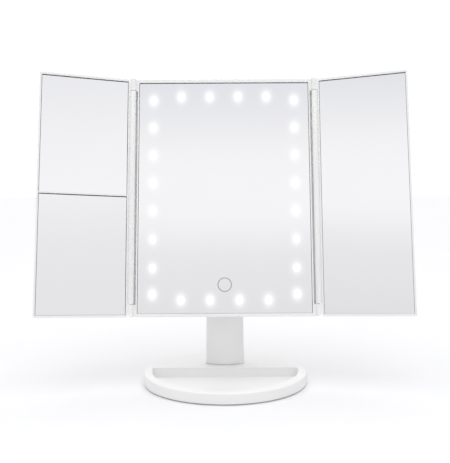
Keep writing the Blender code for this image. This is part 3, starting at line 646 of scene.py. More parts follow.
    @classmethod
    def fit(
        cls, obj: Obj, name: str, place: Matrix, body: str, slot: str, *nodes: str,
        finish: Finish | None = None, angle: float = 32.0,
    ) -> Obj:
        """Sets a modelled piece in place, dresses it, and hangs it on its body.

        Args:
            obj: the piece, in its own frame.
            name: what it is called.
            place: from that frame to the world, in metres.
            body: the body that it rides on.
            slot: the record's material slot.
            *nodes: the frame nodes that it stands for.
            finish: its finish, where that isn't the slot's own.
            angle: edges sharper than this stay sharp, in degrees.

        Returns:
            The piece.
        """
        obj.name = name
        cls.apply(obj, place)
        bpy.ops.object.shade_smooth_by_angle(angle=math.radians(angle))
        obj.data.materials.clear()
        obj.data.materials.append((finish or SLOT_FINISH[slot]).material())
        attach(obj, body)
        if nodes:
            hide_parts(*nodes)
        LOG.info("%s: %d faces", name, len(obj.data.polygons))
        return obj

    @staticmethod
    def trim(obj: Obj, place: Matrix, finish: Finish, test: Test) -> None:
        """Gives part of a fitted piece a second finish.

        Args:
            obj: the piece.
            place: from the piece's own frame to the world.
            finish: the second finish.
            test: tells by a face's centre in millimetres and its normal whether it has that finish.
        """
        obj.data.materials.append(finish.material())
        back = place.inverted()
        for polygon in obj.data.polygons:
            if test((back @ polygon.center) / MM, back.to_3x3() @ polygon.normal):
                polygon.material_index = 1


# ---------------------------------------------------------------- sub-assemblies

@dataclass
class Screw:
    """A pan-head screw with a cross recess. Its head's underside is at the origin and it points along -Z."""

    head_radius: float = 2.7
    head_height: float = 0.9
    radius: float = 1.2
    length: float = 6.0
    pitch: float = 0.9
    point: float = 1.0  # length of its tip
    slot_half: float = 0.3
    slot_depth: float = 0.6

    def shape(self) -> Obj:
        """Models the screw and returns it."""
        top, core, end = self.head_height, self.radius - 0.15, self.point - self.length
        screw = Bench.drum(self.head_radius, Axis.Z, (0.0, top), sides=32)
        Bench.round_edges(screw, 0.4, 3, on("z", top))
        shank = Bench.drum(core, Axis.Z, (end, 0.2), sides=24)
        tip = Bench.drum(0.2, Axis.Z, (-self.length, end + 0.05), sides=24, end_radius=core)
        thread = Bench.drum(0.6, Axis.Z, (end, end + self.pitch / 2), sides=24, end_radius=self.radius)
        turns = int((-end - 0.6) / self.pitch)
        threads = Bench.repeat(thread, [(0, 0, self.pitch * turn) for turn in range(turns)])
        Bench.weld(screw, shank, tip, *threads)
        reach, half = 0.6 * self.head_radius, self.slot_half
        bar = Bench.block((-reach, reach), (-half, half), (top - self.slot_depth, top + 1))
        Bench.carve(screw, *Bench.repeat(bar, [Matrix(), Matrix.Rotation(math.pi / 2, 4, "Z")]))
        return screw

    def drive(self, places: dict[str, Matrix], body: str) -> None:
        """Models the screw once and fits a copy at each place.

        Args:
            places: the frame node that each screw stands for, and where it is in the world.
            body: the body that they ride on.
        """
        copies = Bench.repeat(self.shape(), [Matrix()] * len(places))
        for screw, (node, place) in zip(copies, places.items()):
            Bench.fit(screw, node + "_threaded", place, body, "steel", node)


@dataclass
class Stand:
    """Oval base with its tray, the stem, and the tilt pivot in the stem's top."""

    nodes: dict[str, Obj]
    half_size: Span = (73.5, 62.5)
    underside: float = 0.8
    top: float = 10.3
    wall: float = 2.2
    tray: Span = (66.4, 55.0)  # half sizes
    tray_y: float = 3.0
    tray_back: float = 8.4
    tray_floor: float = 1.8
    base_screws: tuple[Span, ...] = ((-52.0, 20.0), (52.0, 20.0), (0.0, 50.0))
    screw_seat: float = 1.7
    stem_y: float = 26.5
    stem_z: Span = (10.6, 101.2)
    stem_side: float = 4.0
    stem_wall: float = 2.0
    face_radius: float = 30.0
    # half the stem's width at each height: it flares at its foot and narrows upwards
    widths: tuple[Span, ...] = ((10.6, 18.3), (11.1, 18.0), (11.7, 17.83), (12.6, 17.75), (101.2, 16.7))
    full_width: float = 17.75
    stem_screws: Span = (40.0, 92.0)
    pivot_z: float = 110.5
    pivot_radius: float = 9.0
    pivot_half: float = 15.8  # half its width
    axle_bore: float = 2.3

    def oval(self, size: Span, y: float, span: Span, chord: float | None = None, back: bool = False) -> Obj:
        """Adds an oval plate.

        Args:
            size: its half width and half depth.
            y: its centre.
            span: its bottom and top.
            chord: where it is cut straight across, if it is.
            back: whether the part behind the cut is the one that stays.

        Returns:
            The plate.
        """
        plate = Bench.drum(size[0], Axis.Z, span, (0, y, 0), 160, size[1] / size[0])
        if chord is not None:
            Bench.pick(plate, "FACE", everything)
            bpy.ops.mesh.bisect(
                plane_co=(0, chord * MM, 0), plane_no=(0, 1, 0), use_fill=True, clear_inner=back,
                clear_outer=not back,
            )
            Bench.leave()
        return plate

    def build_base(self) -> None:
        """Models the base shell: outer edges rounded, the tray's floor filleted and its rim eased."""
        shell = self.oval(self.half_size, 0.0, (self.underside, self.top))
        Bench.round_edges(shell, 1.3, 5, on("z", self.top))
        Bench.round_edges(shell, 1.1, 4, on("z", self.underside))
        tray = self.oval(self.tray, self.tray_y, (self.tray_floor, self.top + 4), self.tray_back)
        corner = on("y", self.tray_back)
        Bench.round_edges(tray, 2.0, 5, lambda a, b: corner(a, b) and abs(a.x - b.x) < HAIR)
        Bench.round_edges(tray, 0.7, 3, on("z", self.tray_floor))
        inner = (self.half_size[0] - self.wall, self.half_size[1] - self.wall)
        cavity = self.oval(inner, 0.0, (-4.0, self.top - self.wall), self.tray_back + self.wall, True)
        Bench.carve(shell, tray, cavity)
        rim_x, rim_y = self.tray[0] + 0.2, self.tray[1] + 0.2

        def on_rim(point: Vector) -> bool:
            """Tells whether a point is on the tray's rim."""
            inside = (point.x / rim_x) ** 2 + ((point.y - self.tray_y) / rim_y) ** 2 <= 1
            return point.z > self.top - HAIR and inside and point.y < self.tray_back + 0.05

        Bench.round_edges(shell, 0.35, 2, lambda a, b: on_rim(a) and on_rim(b))
        places = [(x, y, 0.0) for x, y in self.base_screws]
        Bench.weld(shell, *Bench.repeat(Bench.drum(3.0, Axis.Z, (2.7, 8.6), sides=32), places))
        Bench.carve(shell, *Bench.repeat(Bench.drum(PILOT_BORE, Axis.Z, (0.0, 8.0), sides=24), places))
        Bench.fit(shell, "base_moulding", Matrix(), "stand", "white_abs", "base_shell")

    def width_at(self, height: float) -> float:
        """Returns half the stem's width at a height, which is one of its stations or past its ends."""
        return next((half for station, half in self.widths if height <= station), self.widths[-1][1])

    def lens(self, inset: float, past: float = 0.0) -> Obj:
        """Models the stem's lens-shaped column.

        Args:
            inset: how far it is drawn in.
            past: how far it runs past the stem's ends.

        Returns:
            The column.
        """
        half = self.full_width - inset
        offset = self.face_radius - self.depth()
        ends = (self.stem_z[0] - past, self.stem_z[1] + past)
        face = Bench.drum(self.face_radius - inset, Axis.Z, ends, sides=288)
        column, rear = Bench.repeat(face, [(0, self.stem_y + offset, 0), (0, self.stem_y - offset, 0)])
        Bench.combine(column, (rear, Bench.block((-half, half), (-40, 80), (0, 140))), "INTERSECT")
        stations = [height for height, _ in self.widths[1:-1]]
        Bench.score(column, Axis.Z, stations)
        for height in (ends[0], *stations, ends[1]):
            Bench.pick(column, "VERT", lambda at, facing: abs(at.z - height) < HAIR)
            share = (self.width_at(height) - inset) / half
            bpy.ops.transform.resize(value=(share, 1.0, 1.0), center_override=(0.0, 0.0, 0.0))
            Bench.leave()
        return column

    def depth(self) -> float:
        """Returns half the stem's depth at its middle."""
        rise = 1 - math.cos(math.asin(self.full_width / self.face_radius))
        return self.stem_side + self.face_radius * rise

    def build_stem(self) -> None:
        """Models the stem's two half shells with an eased parting line between them."""
        y, back = self.stem_y, self.stem_y + self.depth()
        for word, parting, far in (("front", y - PLAY / 2, y - 40), ("rear", y + PLAY / 2, y + 40)):
            shell = self.lens(0.0)
            Bench.combine(shell, (Bench.block((-40, 40), (parting, far), (0, 140)),), "INTERSECT")
            Bench.carve(shell, self.lens(self.stem_wall, 2.0))
            seam, side = on("y", parting), self.widths[-1][1] - 0.6
            Bench.round_edges(
                shell, 0.25, 2, lambda a, b: seam(a, b) and abs(a.z - b.z) > 0.3 and abs(a.x) > side
            )
            if word == "rear":
                hole = Bench.drum(CLEAR_BORE, Axis.Y, (y, back + 2), sides=32)
                pit = Bench.drum(3.1, Axis.Y, (back - 1.1, back + 2), sides=40)
                for cutter in (hole, pit):
                    Bench.carve(shell, *Bench.repeat(cutter, [(0, 0, height) for height in self.stem_screws]))
            Bench.fit(shell, f"stem_{word}_moulding", Matrix(), "stand", "white_abs", f"stem_{word}_shell")

    def build_pivot(self) -> None:
        """Models the knuckle with its tongue, and the two washers."""
        y, centre = self.stem_y, (0.0, self.stem_y, self.pivot_z)
        half = self.pivot_half
        knuckle = Bench.drum(self.pivot_radius, Axis.X, (-half, half), centre, 96)
        Bench.round_edges(knuckle, 0.5, 3, lambda a, b: abs(a.x - b.x) < HAIR and abs(a.x) > half - HAIR)
        tongue = Bench.block((-12.5, 12.5), (y - 4.8, y + 4.8), (84.0, self.pivot_z - 4))
        Bench.ease(tongue, 0.5)
        Bench.weld(knuckle, tongue)
        Bench.carve(
            knuckle,
            Bench.drum(self.axle_bore, Axis.X, (-30, 30), centre),
            Bench.drum(PILOT_BORE, Axis.Y, (y - 1, y + 10), (0, 0, self.stem_screws[1]), 24),
        )
        Bench.fit(knuckle, "pivot_knuckle_moulding", Matrix(), "stand", "grey_abs", "pivot_knuckle")
        ring = Bench.drum(7.5, Axis.X, (-0.5, 0.5), centre, 80)
        Bench.carve(ring, Bench.drum(self.axle_bore, Axis.X, (-30, 30), centre))
        Bench.ease(ring, 0.2, 2, 60)
        away = half + PLAY + 0.5
        for word, washer in zip(("left", "right"), Bench.repeat(ring, [(-away, 0, 0), (away, 0, 0)])):
            name = f"friction_washer_{word}"
            Bench.fit(washer, name + "_ring", Matrix(), "stand", "rubber", name)

    def build_underside(self) -> None:
        """Models the bottom cover and the four foot pads."""
        cover = Bench.refine(self.nodes["base_bottom_cover"], 0.25)
        Bench.fit(cover, "base_bottom_cover_plate", Matrix(), "stand", "white_abs", "base_bottom_cover")
        names = [f"foot_pad_{number}" for number in range(1, 5)]
        low, high = (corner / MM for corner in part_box(names[0]))
        pad = Bench.drum(5.7, Axis.Z, (low.z, high.z), sides=64, end_radius=6.0)
        Bench.round_edges(pad, 0.25, 3, on("z", low.z))
        middles = [sum(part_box(name), Vector()) / 2 / MM for name in names]
        for name, copy in zip(names, Bench.repeat(pad, [(middle.x, middle.y, 0) for middle in middles])):
            Bench.fit(copy, name + "_moulding", Matrix(), "stand", "rubber", name)

    def build_screws(self) -> None:
        """Drives the base's screws up from below and the stem's in from behind."""
        flip, turn = Matrix.Rotation(math.pi, 4, "X"), Matrix.Rotation(-math.pi / 2, 4, "X")
        places = {
            f"base_screw_{number}": shift(x, y, self.screw_seat) @ flip
            for number, (x, y) in enumerate(self.base_screws, 1)
        }
        Screw(2.8, length=5.6).drive(places, "stand")
        back = self.stem_y + self.depth() - 1.0
        places = {
            "stem_screw_" + word: shift(0, back, height) @ turn
            for word, height in zip(("lower", "upper"), self.stem_screws)
        }
        Screw(length=7.2).drive(places, "stand")

    def build(self) -> None:
        """Builds the whole stand."""
        self.build_base()
        self.build_stem()
        self.build_pivot()
        self.build_underside()
        self.build_screws()


@dataclass
class HeadFront:
    """Bezel with its hinge knuckles, centre glass, light windows and touch mark."""

    place: Matrix
    lean: float
    nodes: dict[str, Obj]
    half_width: float = 79.3
    half_height: float = 109.0
    glass: Span = (78.0, 106.0)  # half sizes of its pocket
    thickness: float = 2.0
    lip: float = 0.8
    back: float = 7.0
    web: Span = (2.3, 3.9)
    hinge: Span = (83.5, -1.2)
    barrel: float = 2.6
    knuckle: float = 11.0
    shroud: Span = (3.0, 5.0)
    edge_paint_and_shadow_band: Span = (0.06, 0.35)  # of dark edge paint at a mirror's sides; the wider one at its top is painted shadow under the lip
    settle: float = 0.22  # how far the glass sinks in its pocket's play
    column_x: float = 64.6
    column_top: float = 89.0
    column_pitch: float = 25.75
    row_x: tuple[float, ...] = (-39.0, -13.2, 13.2, 39.0)
    row_pitch: float = 26.1  # between the middles of the rows' glows
    row_z: Span = (92.5, -94.2)
    window: Span = (2.6, 3.4)  # half sizes
    touch_z: float = -80.6
    touch_ring: Span = (5.55, 6.45)
    bosses: tuple[Span, ...] = ((-73.5, -97.0), (-73.5, 97.0), (73.5, -97.0), (73.5, 97.0))

    def lights(self) -> list[Point]:
        """Returns where each light is on the glass."""
        heights = [self.column_top - self.column_pitch * row for row in range(7)] + [-self.column_top]
        columns = [(x, 0.0, z) for x in (-self.column_x, self.column_x) for z in heights]
        return columns + [(x, 0.0, z) for z in self.row_z for x in self.row_x]

    def shape_knuckle(self, side: int, end: int) -> Obj:
        """Models one hinge knuckle.

        Args:
            side: -1 at the left, 1 at the right.
            end: -1 at the bottom, 1 at the top.

        Returns:
            The knuckle: a barrel end and its web, cut to the frame's height.
        """
        top, bottom = self.half_height - 0.1, self.half_height - self.knuckle
        inner, reach = self.half_width - 0.7, self.hinge[0] + self.barrel
        span = (end * (bottom - 2), end * (top + 2))
        barrel = Bench.drum(self.barrel, Axis.Z, span, (side * self.hinge[0], self.hinge[1], 0))
        web_x = (side * (inner - 1), side * (self.hinge[0] + 2.2))
        Bench.weld(barrel, Bench.block(web_x, (0.05 - self.lip, 5.0), span))
        limit = Bench.block((side * inner, side * reach), (-10, 10), (end * bottom, end * top))
        corner = 1.2 if end > 0 else 4.4
        Bench.round_edges(
            limit, corner, 8,
            lambda a, b: all(p.x * side > inner + 1 and p.z * end > bottom + 1 for p in (a, b)),
        )
        Bench.combine(barrel, (limit,), "INTERSECT")
        return barrel

    def build_frame(self) -> None:
        """Models the front frame in one moulding."""
        w, h = self.half_width, self.half_height
        frame = Bench.block((-w, w), (-self.lip, self.back), (-h, h))
        Bench.round_edges(frame, 0.8, 4, along("y"))
        Bench.round_edges(frame, 0.25, 3, on("y", -self.lip))
        gw, gh = self.glass
        Bench.carve(
            frame,
            Bench.block((-gw, gw), (-self.lip - 2, self.web[0]), (-gh, gh)),
            Bench.block((0.5 - gw, gw - 0.5), (self.web[1], self.back + 2), (-gh, gh)),
        )
        corners = [(x, 0.0, z) for x, z in self.bosses]
        boss = Bench.drum(2.5, Axis.Y, (self.web[1] - 0.8, 10.2), sides=32)
        knuckles = [self.shape_knuckle(side, end) for side in (-1, 1) for end in (-1, 1)]
        reach = h - self.knuckle + 1.0
        shroud = Bench.block((w - 0.7, self.hinge[0] + 0.5), self.shroud, (-reach, reach))
        across = Matrix.Rotation(math.pi, 4, "Z") @ shift(0, -sum(self.shroud), 0)
        shrouds = Bench.repeat(shroud, [Matrix(), across])
        Bench.weld(frame, *Bench.repeat(boss, corners), *knuckles, *shrouds)
        wells = Bench.repeat(Bench.drum(2.6, Axis.Y, (1.0, 6.0), sides=20), self.lights())
        wells.append(Bench.drum(5.0, Axis.Y, (1.0, 6.0), (0, 0, self.touch_z), 32))
        bores = Bench.repeat(Bench.drum(PILOT_BORE, Axis.Y, (5.0, 14.0), sides=24), corners)
        low = h - self.knuckle
        bores += Bench.repeat(Bench.drum(1.3, Axis.Z, (-5.875, 5.875), sides=24), [
            (side * self.hinge[0], self.hinge[1], end * (low + 2.875)) for side in (-1, 1) for end in (-1, 1)
        ])
        Bench.carve(frame, Bench.gather(wells), Bench.gather(bores))
        Bench.fit(frame, "front_frame_moulding", self.place, "head", "white_abs", "front_frame")

    def build_glass(self) -> None:
        """Models the centre glass with its ground edge and a painted shadow line along its top."""
        w, h = self.glass[0] - PLAY, self.glass[1] - PLAY
        top = h - self.settle
        glass = Bench.block((-w, w), (0.0, self.thickness), (-h - self.settle, top))
        Bench.round_edges(glass, 0.1, 1, everything)
        side, shadow_band = self.edge_paint_and_shadow_band
        Bench.score(glass, Axis.X, (-w + side, w - side))
        Bench.score(glass, Axis.Z, (top - shadow_band,))
        # the centre glass carries a painted glow round each light window
        lit = LitGlass(
            "silvered_float_glass_with_painted_glow", MIRROR.colour, MIRROR.shade, MIRROR.roughness, MIRROR.drift,
            MIRROR.skin_size, 0.0, spread=MIRROR.spread, metallic=1.0, lean=self.lean,
            centre=tuple(self.place.to_translation()), column_x=self.column_x, column_top=self.column_top,
            column_pitch=self.column_pitch, row_pitch=self.row_pitch, row_z=self.row_z,
        )
        Bench.fit(
            glass, "centre_mirror", self.place, "head", "mirror", "centre_mirror_glass", finish=lit,
            angle=20.0,
        )
        # the front's sides take the dark edge paint, and a wider strip along its top takes it as painted
        # shadow under the lip
        Bench.trim(
            glass, self.place, DARK_EDGE_AND_SHADOW_LINE,
            lambda at, facing: facing.y > -0.9 or abs(at.x) > w - side or at.z > top - shadow_band,
        )

    def build_windows(self) -> None:
        """Models one frosted window, a low lens with rounded ends, and copies it to each light."""
        half_x, half_z = self.window
        window = Bench.block((-half_x, half_x), (-0.05, 0.05), (-half_z, half_z))
        Bench.round_edges(window, half_x * 0.96, 8, along("y", 0.05))
        for number, copy in enumerate(Bench.repeat(window, self.lights()), 1):
            name = f"light_window_{number:02d}"
            Bench.fit(copy, name, self.place, "head", "board_white", finish=FROST, angle=20.0)

    def build_touch_mark(self) -> None:
        """Models the ring printed round the touch switch."""
        centre, (inner, outer) = (0, 0, self.touch_z), self.touch_ring
        ring = Bench.drum(outer, Axis.Y, (-0.03, 0.02), centre, 64)
        Bench.carve(ring, Bench.drum(inner, Axis.Y, (-1, 1), centre, 64))
        Bench.fit(ring, "touch_mark", self.place, "head", "board_white", finish=INK)

    def build_pins(self) -> None:
        """Rounds the ends of the four hinge pins."""
        for side in ("left", "right"):
            for end in ("top", "bottom"):
                name = f"{side}_hinge_pin_{end}"
                pin = Bench.refine(self.nodes[name], 0.15)
                Bench.fit(pin, name + "_turned", Matrix(), "head", "steel", name)

    def build(self) -> None:
        """Builds the head's front."""
        self.build_frame()
        self.build_glass()
        self.build_windows()
        self.build_touch_mark()
        self.build_pins()


@dataclass
class HeadBack:
    """Rear cover with battery box, lugs and inlet, and what the box holds."""

    place: Matrix
    half_width: float = 79.3
    half_height: float = 109.0
    front: float = 7.3
    back: float = 12.3
    wall: float = 1.8
    box_z: float = -5.0
    box_half: float = 36.0
    box_back: float = 26.5
    pocket: Span = (31.25, 31.2)
    pocket_floor: float = 9.6
    door: Span = (24.9, 25.5)
    door_halves: Span = (34.1, 32.1)  # of its tongue and its face
    ribs: int = 4
    rib_pitch: float = 2.4
    axis: Span = (26.0, -54.0)
    lug: Span = (17.4, 21.8)
    lug_radius: float = 9.0
    axle_bore: float = 2.3
    usb: Span = (48.0, -80.0)
    screws: tuple[Span, ...] = ((-73.5, -97.0), (-73.5, 97.0), (73.5, -97.0), (73.5, 97.0))
    cell_pitch: float = 15.2
    cell_radius: float = 7.25
    cell_ends: Span = (-20.4, 28.6)  # of its can; the nub stands past the second
    nub: float = 1.5

    def shape_lugs(self, inner: float) -> list[Obj]:
        """Models one lug, its lower half drawn down into an arm, and copies it to both sides.

        Args:
            inner: the cover's inner face.

        Returns:
            The two lugs.
        """
        y, z = self.axis
        middle, half = sum(self.lug) / 2, (self.lug[1] - self.lug[0]) / 2
        lug, root = Bench.drum(self.lug_radius, Axis.X, (-half, half), (0, y, z), 80), inner + 0.5
        Bench.pick(lug, "VERT", lambda at, facing: at.y < y - HAIR)
        bpy.ops.transform.resize(value=(1.0, 0.0, 1.0), center_override=(0.0, root * MM, 0.0))
        Bench.leave()
        Bench.round_edges(lug, 0.4, 3, lambda a, b: abs(a.x - b.x) < HAIR and max(a.y, b.y) > root + 1)
        return Bench.repeat(lug, [(-middle, 0, 0), (middle, 0, 0)])

    def build_cover(self) -> None:
        """Models the rear cover: crowned edges, the battery box, lugs and openings."""
        w, h = self.half_width, self.half_height
        cover = Bench.block((-w, w), (self.front, self.back), (-h, h))
        Bench.round_edges(cover, 0.8, 4, along("y"))
        Bench.round_edges(cover, 1.5, 6, on("y", self.back))
        inner = self.back - self.wall
        hollow = Bench.block((self.wall - w, w - self.wall), (self.front - 3, inner), (3 - h, h - 3))
        Bench.carve(cover, hollow)
        low, high = self.box_z - self.box_half, self.box_z + self.box_half
        box_y = (self.pocket_floor - 1.2, self.box_back)
        housing = Bench.block((-self.box_half, self.box_half), box_y, (low, high))
        Bench.round_edges(housing, 3.0, 6, along("y"))
        Bench.round_edges(housing, 1.0, 4, on("y", self.box_back))
        Bench.weld(cover, housing, *self.shape_lugs(inner))
        bottom, top = self.box_z - self.pocket[1], self.box_z + self.pocket[1]
        track, mouth = self.door[0] - PLAY, (bottom - 1.5, high + 5)
        tongue, face = (half + PLAY for half in self.door_halves)
        Bench.carve(
            cover,
            Bench.block((-self.pocket[0], self.pocket[0]), (self.pocket_floor, 40), (bottom, top)),
            Bench.block((-tongue, tongue), (track, self.door[1] + PLAY), mouth),
            Bench.block((-face, face), (track, 40), mouth),
            Bench.drum(self.axle_bore, Axis.X, (-40, 40), (0, *self.axis)),
        )
        ux, uz = self.usb
        inlet = Bench.block((ux - 4.3, ux + 4.3), (inner - 3, self.back + 3), (uz - 1.9, uz + 1.9))
        Bench.round_edges(inlet, 1.0, 4, along("y"))
        corners = [(x, 0.0, z) for x, z in self.screws]
        leads = [(30.0, 0.0, self.box_z + end * 1.5 * self.cell_pitch) for end in (-1, 1)]
        Bench.carve(
            cover, inlet,
            Bench.gather(Bench.repeat(Bench.drum(1.1, Axis.Y, (5, 11.6), sides=20), leads)),
            Bench.gather(Bench.repeat(Bench.drum(CLEAR_BORE, Axis.Y, (5, 20), sides=32), corners)),
            Bench.gather(Bench.repeat(Bench.drum(3.0, Axis.Y, (self.back - 0.9, 20)), corners)),
        )
        Bench.fit(cover, "rear_cover_moulding", self.place, "head", "white_abs", "rear_cover")

    def build_door(self) -> None:
        """Models the battery door with its finger ribs."""
        low, high = self.box_z - self.pocket[1] - 1.2, self.box_z + self.box_half
        tongue, half = self.door_halves
        outside = self.box_back
        door = Bench.block((-tongue, tongue), self.door, (low, high))
        face = Bench.block((-half, half), (self.door[1] - 0.3, outside), (low, high))
        Bench.round_edges(face, 0.3, 2, on("y", outside))
        rib = Bench.block((-9, 9), (outside - 0.4, outside + 0.6), (low + 6.0, low + 7.0))
        Bench.round_edges(rib, 0.35, 3, on("y", outside + 0.6))
        Bench.weld(door, face, *Bench.repeat(rib, [(0, 0, row * self.rib_pitch) for row in range(self.ribs)]))
        Bench.fit(door, "battery_door_moulding", self.place, "battery_door", "white_abs", "battery_door")

    def build_cells(self) -> None:
        """Models one cell, with a rolled edge, a bare can end and a nub, and lays four in turn."""
        tail, shoulder = self.cell_ends
        cell = Bench.drum(self.cell_radius, Axis.X, (tail, shoulder), sides=64)
        Bench.ease(cell, 0.5, 3, 60)
        nub = Bench.drum(2.75, Axis.X, (shoulder - 1, shoulder + self.nub), sides=32)
        Bench.ease(nub, 0.3, 2, 60)
        Bench.weld(cell, nub)
        places = []
        for row in range(4):
            depth = self.pocket_floor + 0.4 + self.cell_radius
            middle = shift(0, depth, self.box_z + (1.5 - row) * self.cell_pitch)
            places.append(middle @ Matrix.Rotation(math.pi * (row % 2), 4, "Y"))

        def bare(at: Vector, facing: Vector) -> bool:
            """Tells whether a face is on the can's bare end or the nub."""
            return math.hypot(at.y, at.z) < 6.0 and not tail + 0.3 < at.x < shoulder - 0.3

        copies = Bench.repeat(cell, [Matrix()] * len(places))
        for number, (copy, place) in enumerate(zip(copies, places), 1):
            name, where = f"battery_cell_{number}", self.place @ place
            Bench.fit(copy, name + "_body", where, "head", "cell_wrap", name)
            Bench.trim(copy, where, STEEL, bare)

    def build_bolt(self) -> None:
        """Models the pivot bolt and its nut."""
        (y, z), outer = self.axis, self.lug[1] + PLAY
        end = outer + 3.2
        bolt = Bench.drum(2.0, Axis.X, (-outer - 1, end), (0, y, z))
        Bench.round_edges(bolt, 0.4, 2, on("x", end))
        cap = -outer - 2.4
        head = Bench.drum(3.8, Axis.X, (cap, -outer), (0, y, z), 64)
        Bench.round_edges(head, 0.6, 4, on("x", cap))
        Bench.weld(bolt, head)
        span, reach, half = (cap - 1.6, cap + 0.9), 2.2, 0.4
        Bench.carve(
            bolt,
            Bench.block(span, (y - reach, y + reach), (z - half, z + half)),
            Bench.block(span, (y - half, y + half), (z - reach, z + reach)),
        )
        Bench.fit(bolt, "pivot_bolt_turned", self.place, "head", "steel", "pivot_bolt")
        nut = Bench.drum(4.04, Axis.X, (outer, outer + 2.6), (0, y, z), 6)
        crown = Bench.drum(3.98, Axis.X, (outer - 0.2, end), (0, y, z), 64, end_radius=3.5)
        Bench.combine(nut, (crown,), "INTERSECT")
        Bench.carve(nut, Bench.drum(self.axle_bore, Axis.X, (outer - 4, outer + 6), (0, y, z)))
        Bench.ease(nut, 0.12, 2, 50)
        Bench.fit(nut, "pivot_nut_pressed", self.place, "head", "steel", "pivot_nut")

    def build(self) -> None:
        """Builds the head's back."""
        self.build_cover()
        self.build_door()
        self.build_cells()
        self.build_bolt()
        turn = Matrix.Rotation(-math.pi / 2, 4, "X")
        places = {
            f"rear_cover_screw_{number}": self.place @ shift(x, self.back - 0.8, z) @ turn
            for number, (x, z) in enumerate(self.screws, 1)
        }
        Screw().drive(places, "head")


class Glazing(Enum):
    """What a wing holds: one plain mirror, or a pair that magnifies, hollowed by this many millimetres."""

    PLAIN = 0.0
    MAGNIFYING_PAIR = 0.9


@dataclass
class Wing:
    """One wing: its tray with the hinge barrel, and its mirrors."""

    word: str
    side: int
    place: Matrix
    glazing: Glazing
    inner: float = 2.9
    outer: float = 83.0
    glass_x: Span = (4.3, 81.3)
    glass_half: float = 106.9
    glass_front: float = 1.2
    thickness: float = 2.0
    lip: float = 0.8
    back: float = 6.2
    half_height: float = 109.0
    barrel: float = 2.6
    knuckle: float = 11.4
    divider: float = 1.2
    edge_paint_and_shadow_band: Span = (0.06, 0.35)  # of dark edge paint at a mirror's sides; the wider one at its top is painted shadow under the lip
    settle: float = 0.22
    rim: float = 0.1  # left flat round a hollowed mirror
    cuts: int = 49  # an odd number, which puts a corner in the middle

    def rows(self) -> list[tuple[str, float, float]]:
        """Returns the name and the height span of each mirror's pocket."""
        if self.glazing is Glazing.PLAIN:
            return [("mirror", -self.glass_half, self.glass_half)]
        half = self.divider / 2
        return [("upper_mirror", half, self.glass_half), ("lower_mirror", -self.glass_half, -half)]

    def build_frame(self) -> None:
        """Models the wing's tray and barrel in one moulding."""
        side, h = self.side, self.half_height
        front, half = self.glass_front - self.lip, h - self.knuckle
        frame = Bench.block((side * self.inner, side * self.outer), (front, self.back), (-h, h))
        Bench.round_edges(frame, 0.8, 4, along("y"))
        Bench.round_edges(frame, 0.25, 3, on("y", front))
        Bench.round_edges(frame, 1.0, 4, on("y", self.back))
        barrel = Bench.drum(self.barrel, Axis.Z, (-half, half))
        Bench.round_edges(barrel, 0.25, 2, lambda a, b: on("z", half)(a, b) or on("z", -half)(a, b))
        web = Bench.block((side * 1.0, side * (self.inner + 0.6)), (0.6, 2.4), (-half, half))
        Bench.weld(frame, barrel, web)
        x = (side * self.glass_x[0], side * self.glass_x[1])
        floor = self.glass_front + self.thickness + PLAY
        bore = Bench.drum(1.3, Axis.Z, (-5.375, 5.375), sides=24)
        Bench.carve(
            frame,
            *(Bench.block(x, (front - 2, floor), (low, high)) for _, low, high in self.rows()),
            Bench.gather(Bench.repeat(bore, [(0, 0, 3.375 - half), (0, 0, half - 3.375)])),
        )
        name = f"{self.word}_wing"
        Bench.fit(frame, name + "_moulding", self.place, name, "white_abs", name + "_frame")

    def build_mirror(self, name: str, low: float, high: float) -> None:
        """Models one mirror with a ground edge and a painted shadow line along its top. A magnifying one is
        hollowed on its front.

        Args:
            name: what the mirror is.
            low: bottom of its pocket.
            high: top of its pocket.
        """
        x = sorted((self.side * (self.glass_x[0] + PLAY), self.side * (self.glass_x[1] - PLAY)))
        z = (low + PLAY - self.settle, high - PLAY - self.settle)
        mirror = Bench.block((x[0], x[1]), (self.glass_front, self.glass_front + self.thickness), z)
        if self.glazing is Glazing.MAGNIFYING_PAIR:
            self.hollow(mirror, (x[0], x[1]), z)
        side, top = self.edge_paint_and_shadow_band
        Bench.score(mirror, Axis.X, (x[0] + side, x[1] - side))
        Bench.score(mirror, Axis.Z, (z[1] - top,))
        body = f"{self.word}_wing"
        title = f"{self.word}_{name}_silvered"
        Bench.fit(mirror, title, self.place, body, "mirror", f"{body}_{name}", angle=12.0)
        # the front's sides take the dark edge paint, and a wider strip along its top takes it as painted
        # shadow under the lip
        Bench.trim(
            mirror, self.place, DARK_EDGE_AND_SHADOW_LINE,
            lambda at, facing: facing.y > -0.9 or at.z > z[1] - top or not x[0] + side < at.x < x[1] - side,
        )

    def hollow(self, mirror: Obj, x: Span, z: Span) -> None:
        """Sinks a mirror's front into a shallow bowl, level at its corners.

        Args:
            mirror: the glass, still a plain block.
            x: its two sides.
            z: its bottom and top.
        """
        Bench.pick(mirror, "FACE", lambda centre, facing: facing.y < -0.9)
        bpy.ops.mesh.inset(thickness=self.rim * MM)
        bpy.ops.mesh.subdivide(number_cuts=self.cuts, quadcorner="INNERVERT")
        bpy.ops.mesh.hide(unselected=True)
        Bench.leave()
        middle = Vector((sum(x) / 2, self.glass_front, sum(z) / 2))
        Bench.pick(mirror, "VERT", lambda at, facing: (at - middle).length < 0.1)
        reach = math.hypot(x[1] - x[0] - 2 * self.rim, z[1] - z[0] - 2 * self.rim) / 2
        bpy.ops.transform.translate(
            value=(0.0, self.glazing.value * MM, 0.0), use_proportional_edit=True,
            proportional_edit_falloff="INVERSE_SQUARE", proportional_size=reach * MM,
        )
        bpy.ops.mesh.reveal(select=False)
        Bench.leave()

    def build(self) -> None:
        """Builds the wing."""
        self.build_frame()
        for name, low, high in self.rows():
            self.build_mirror(name, low, high)


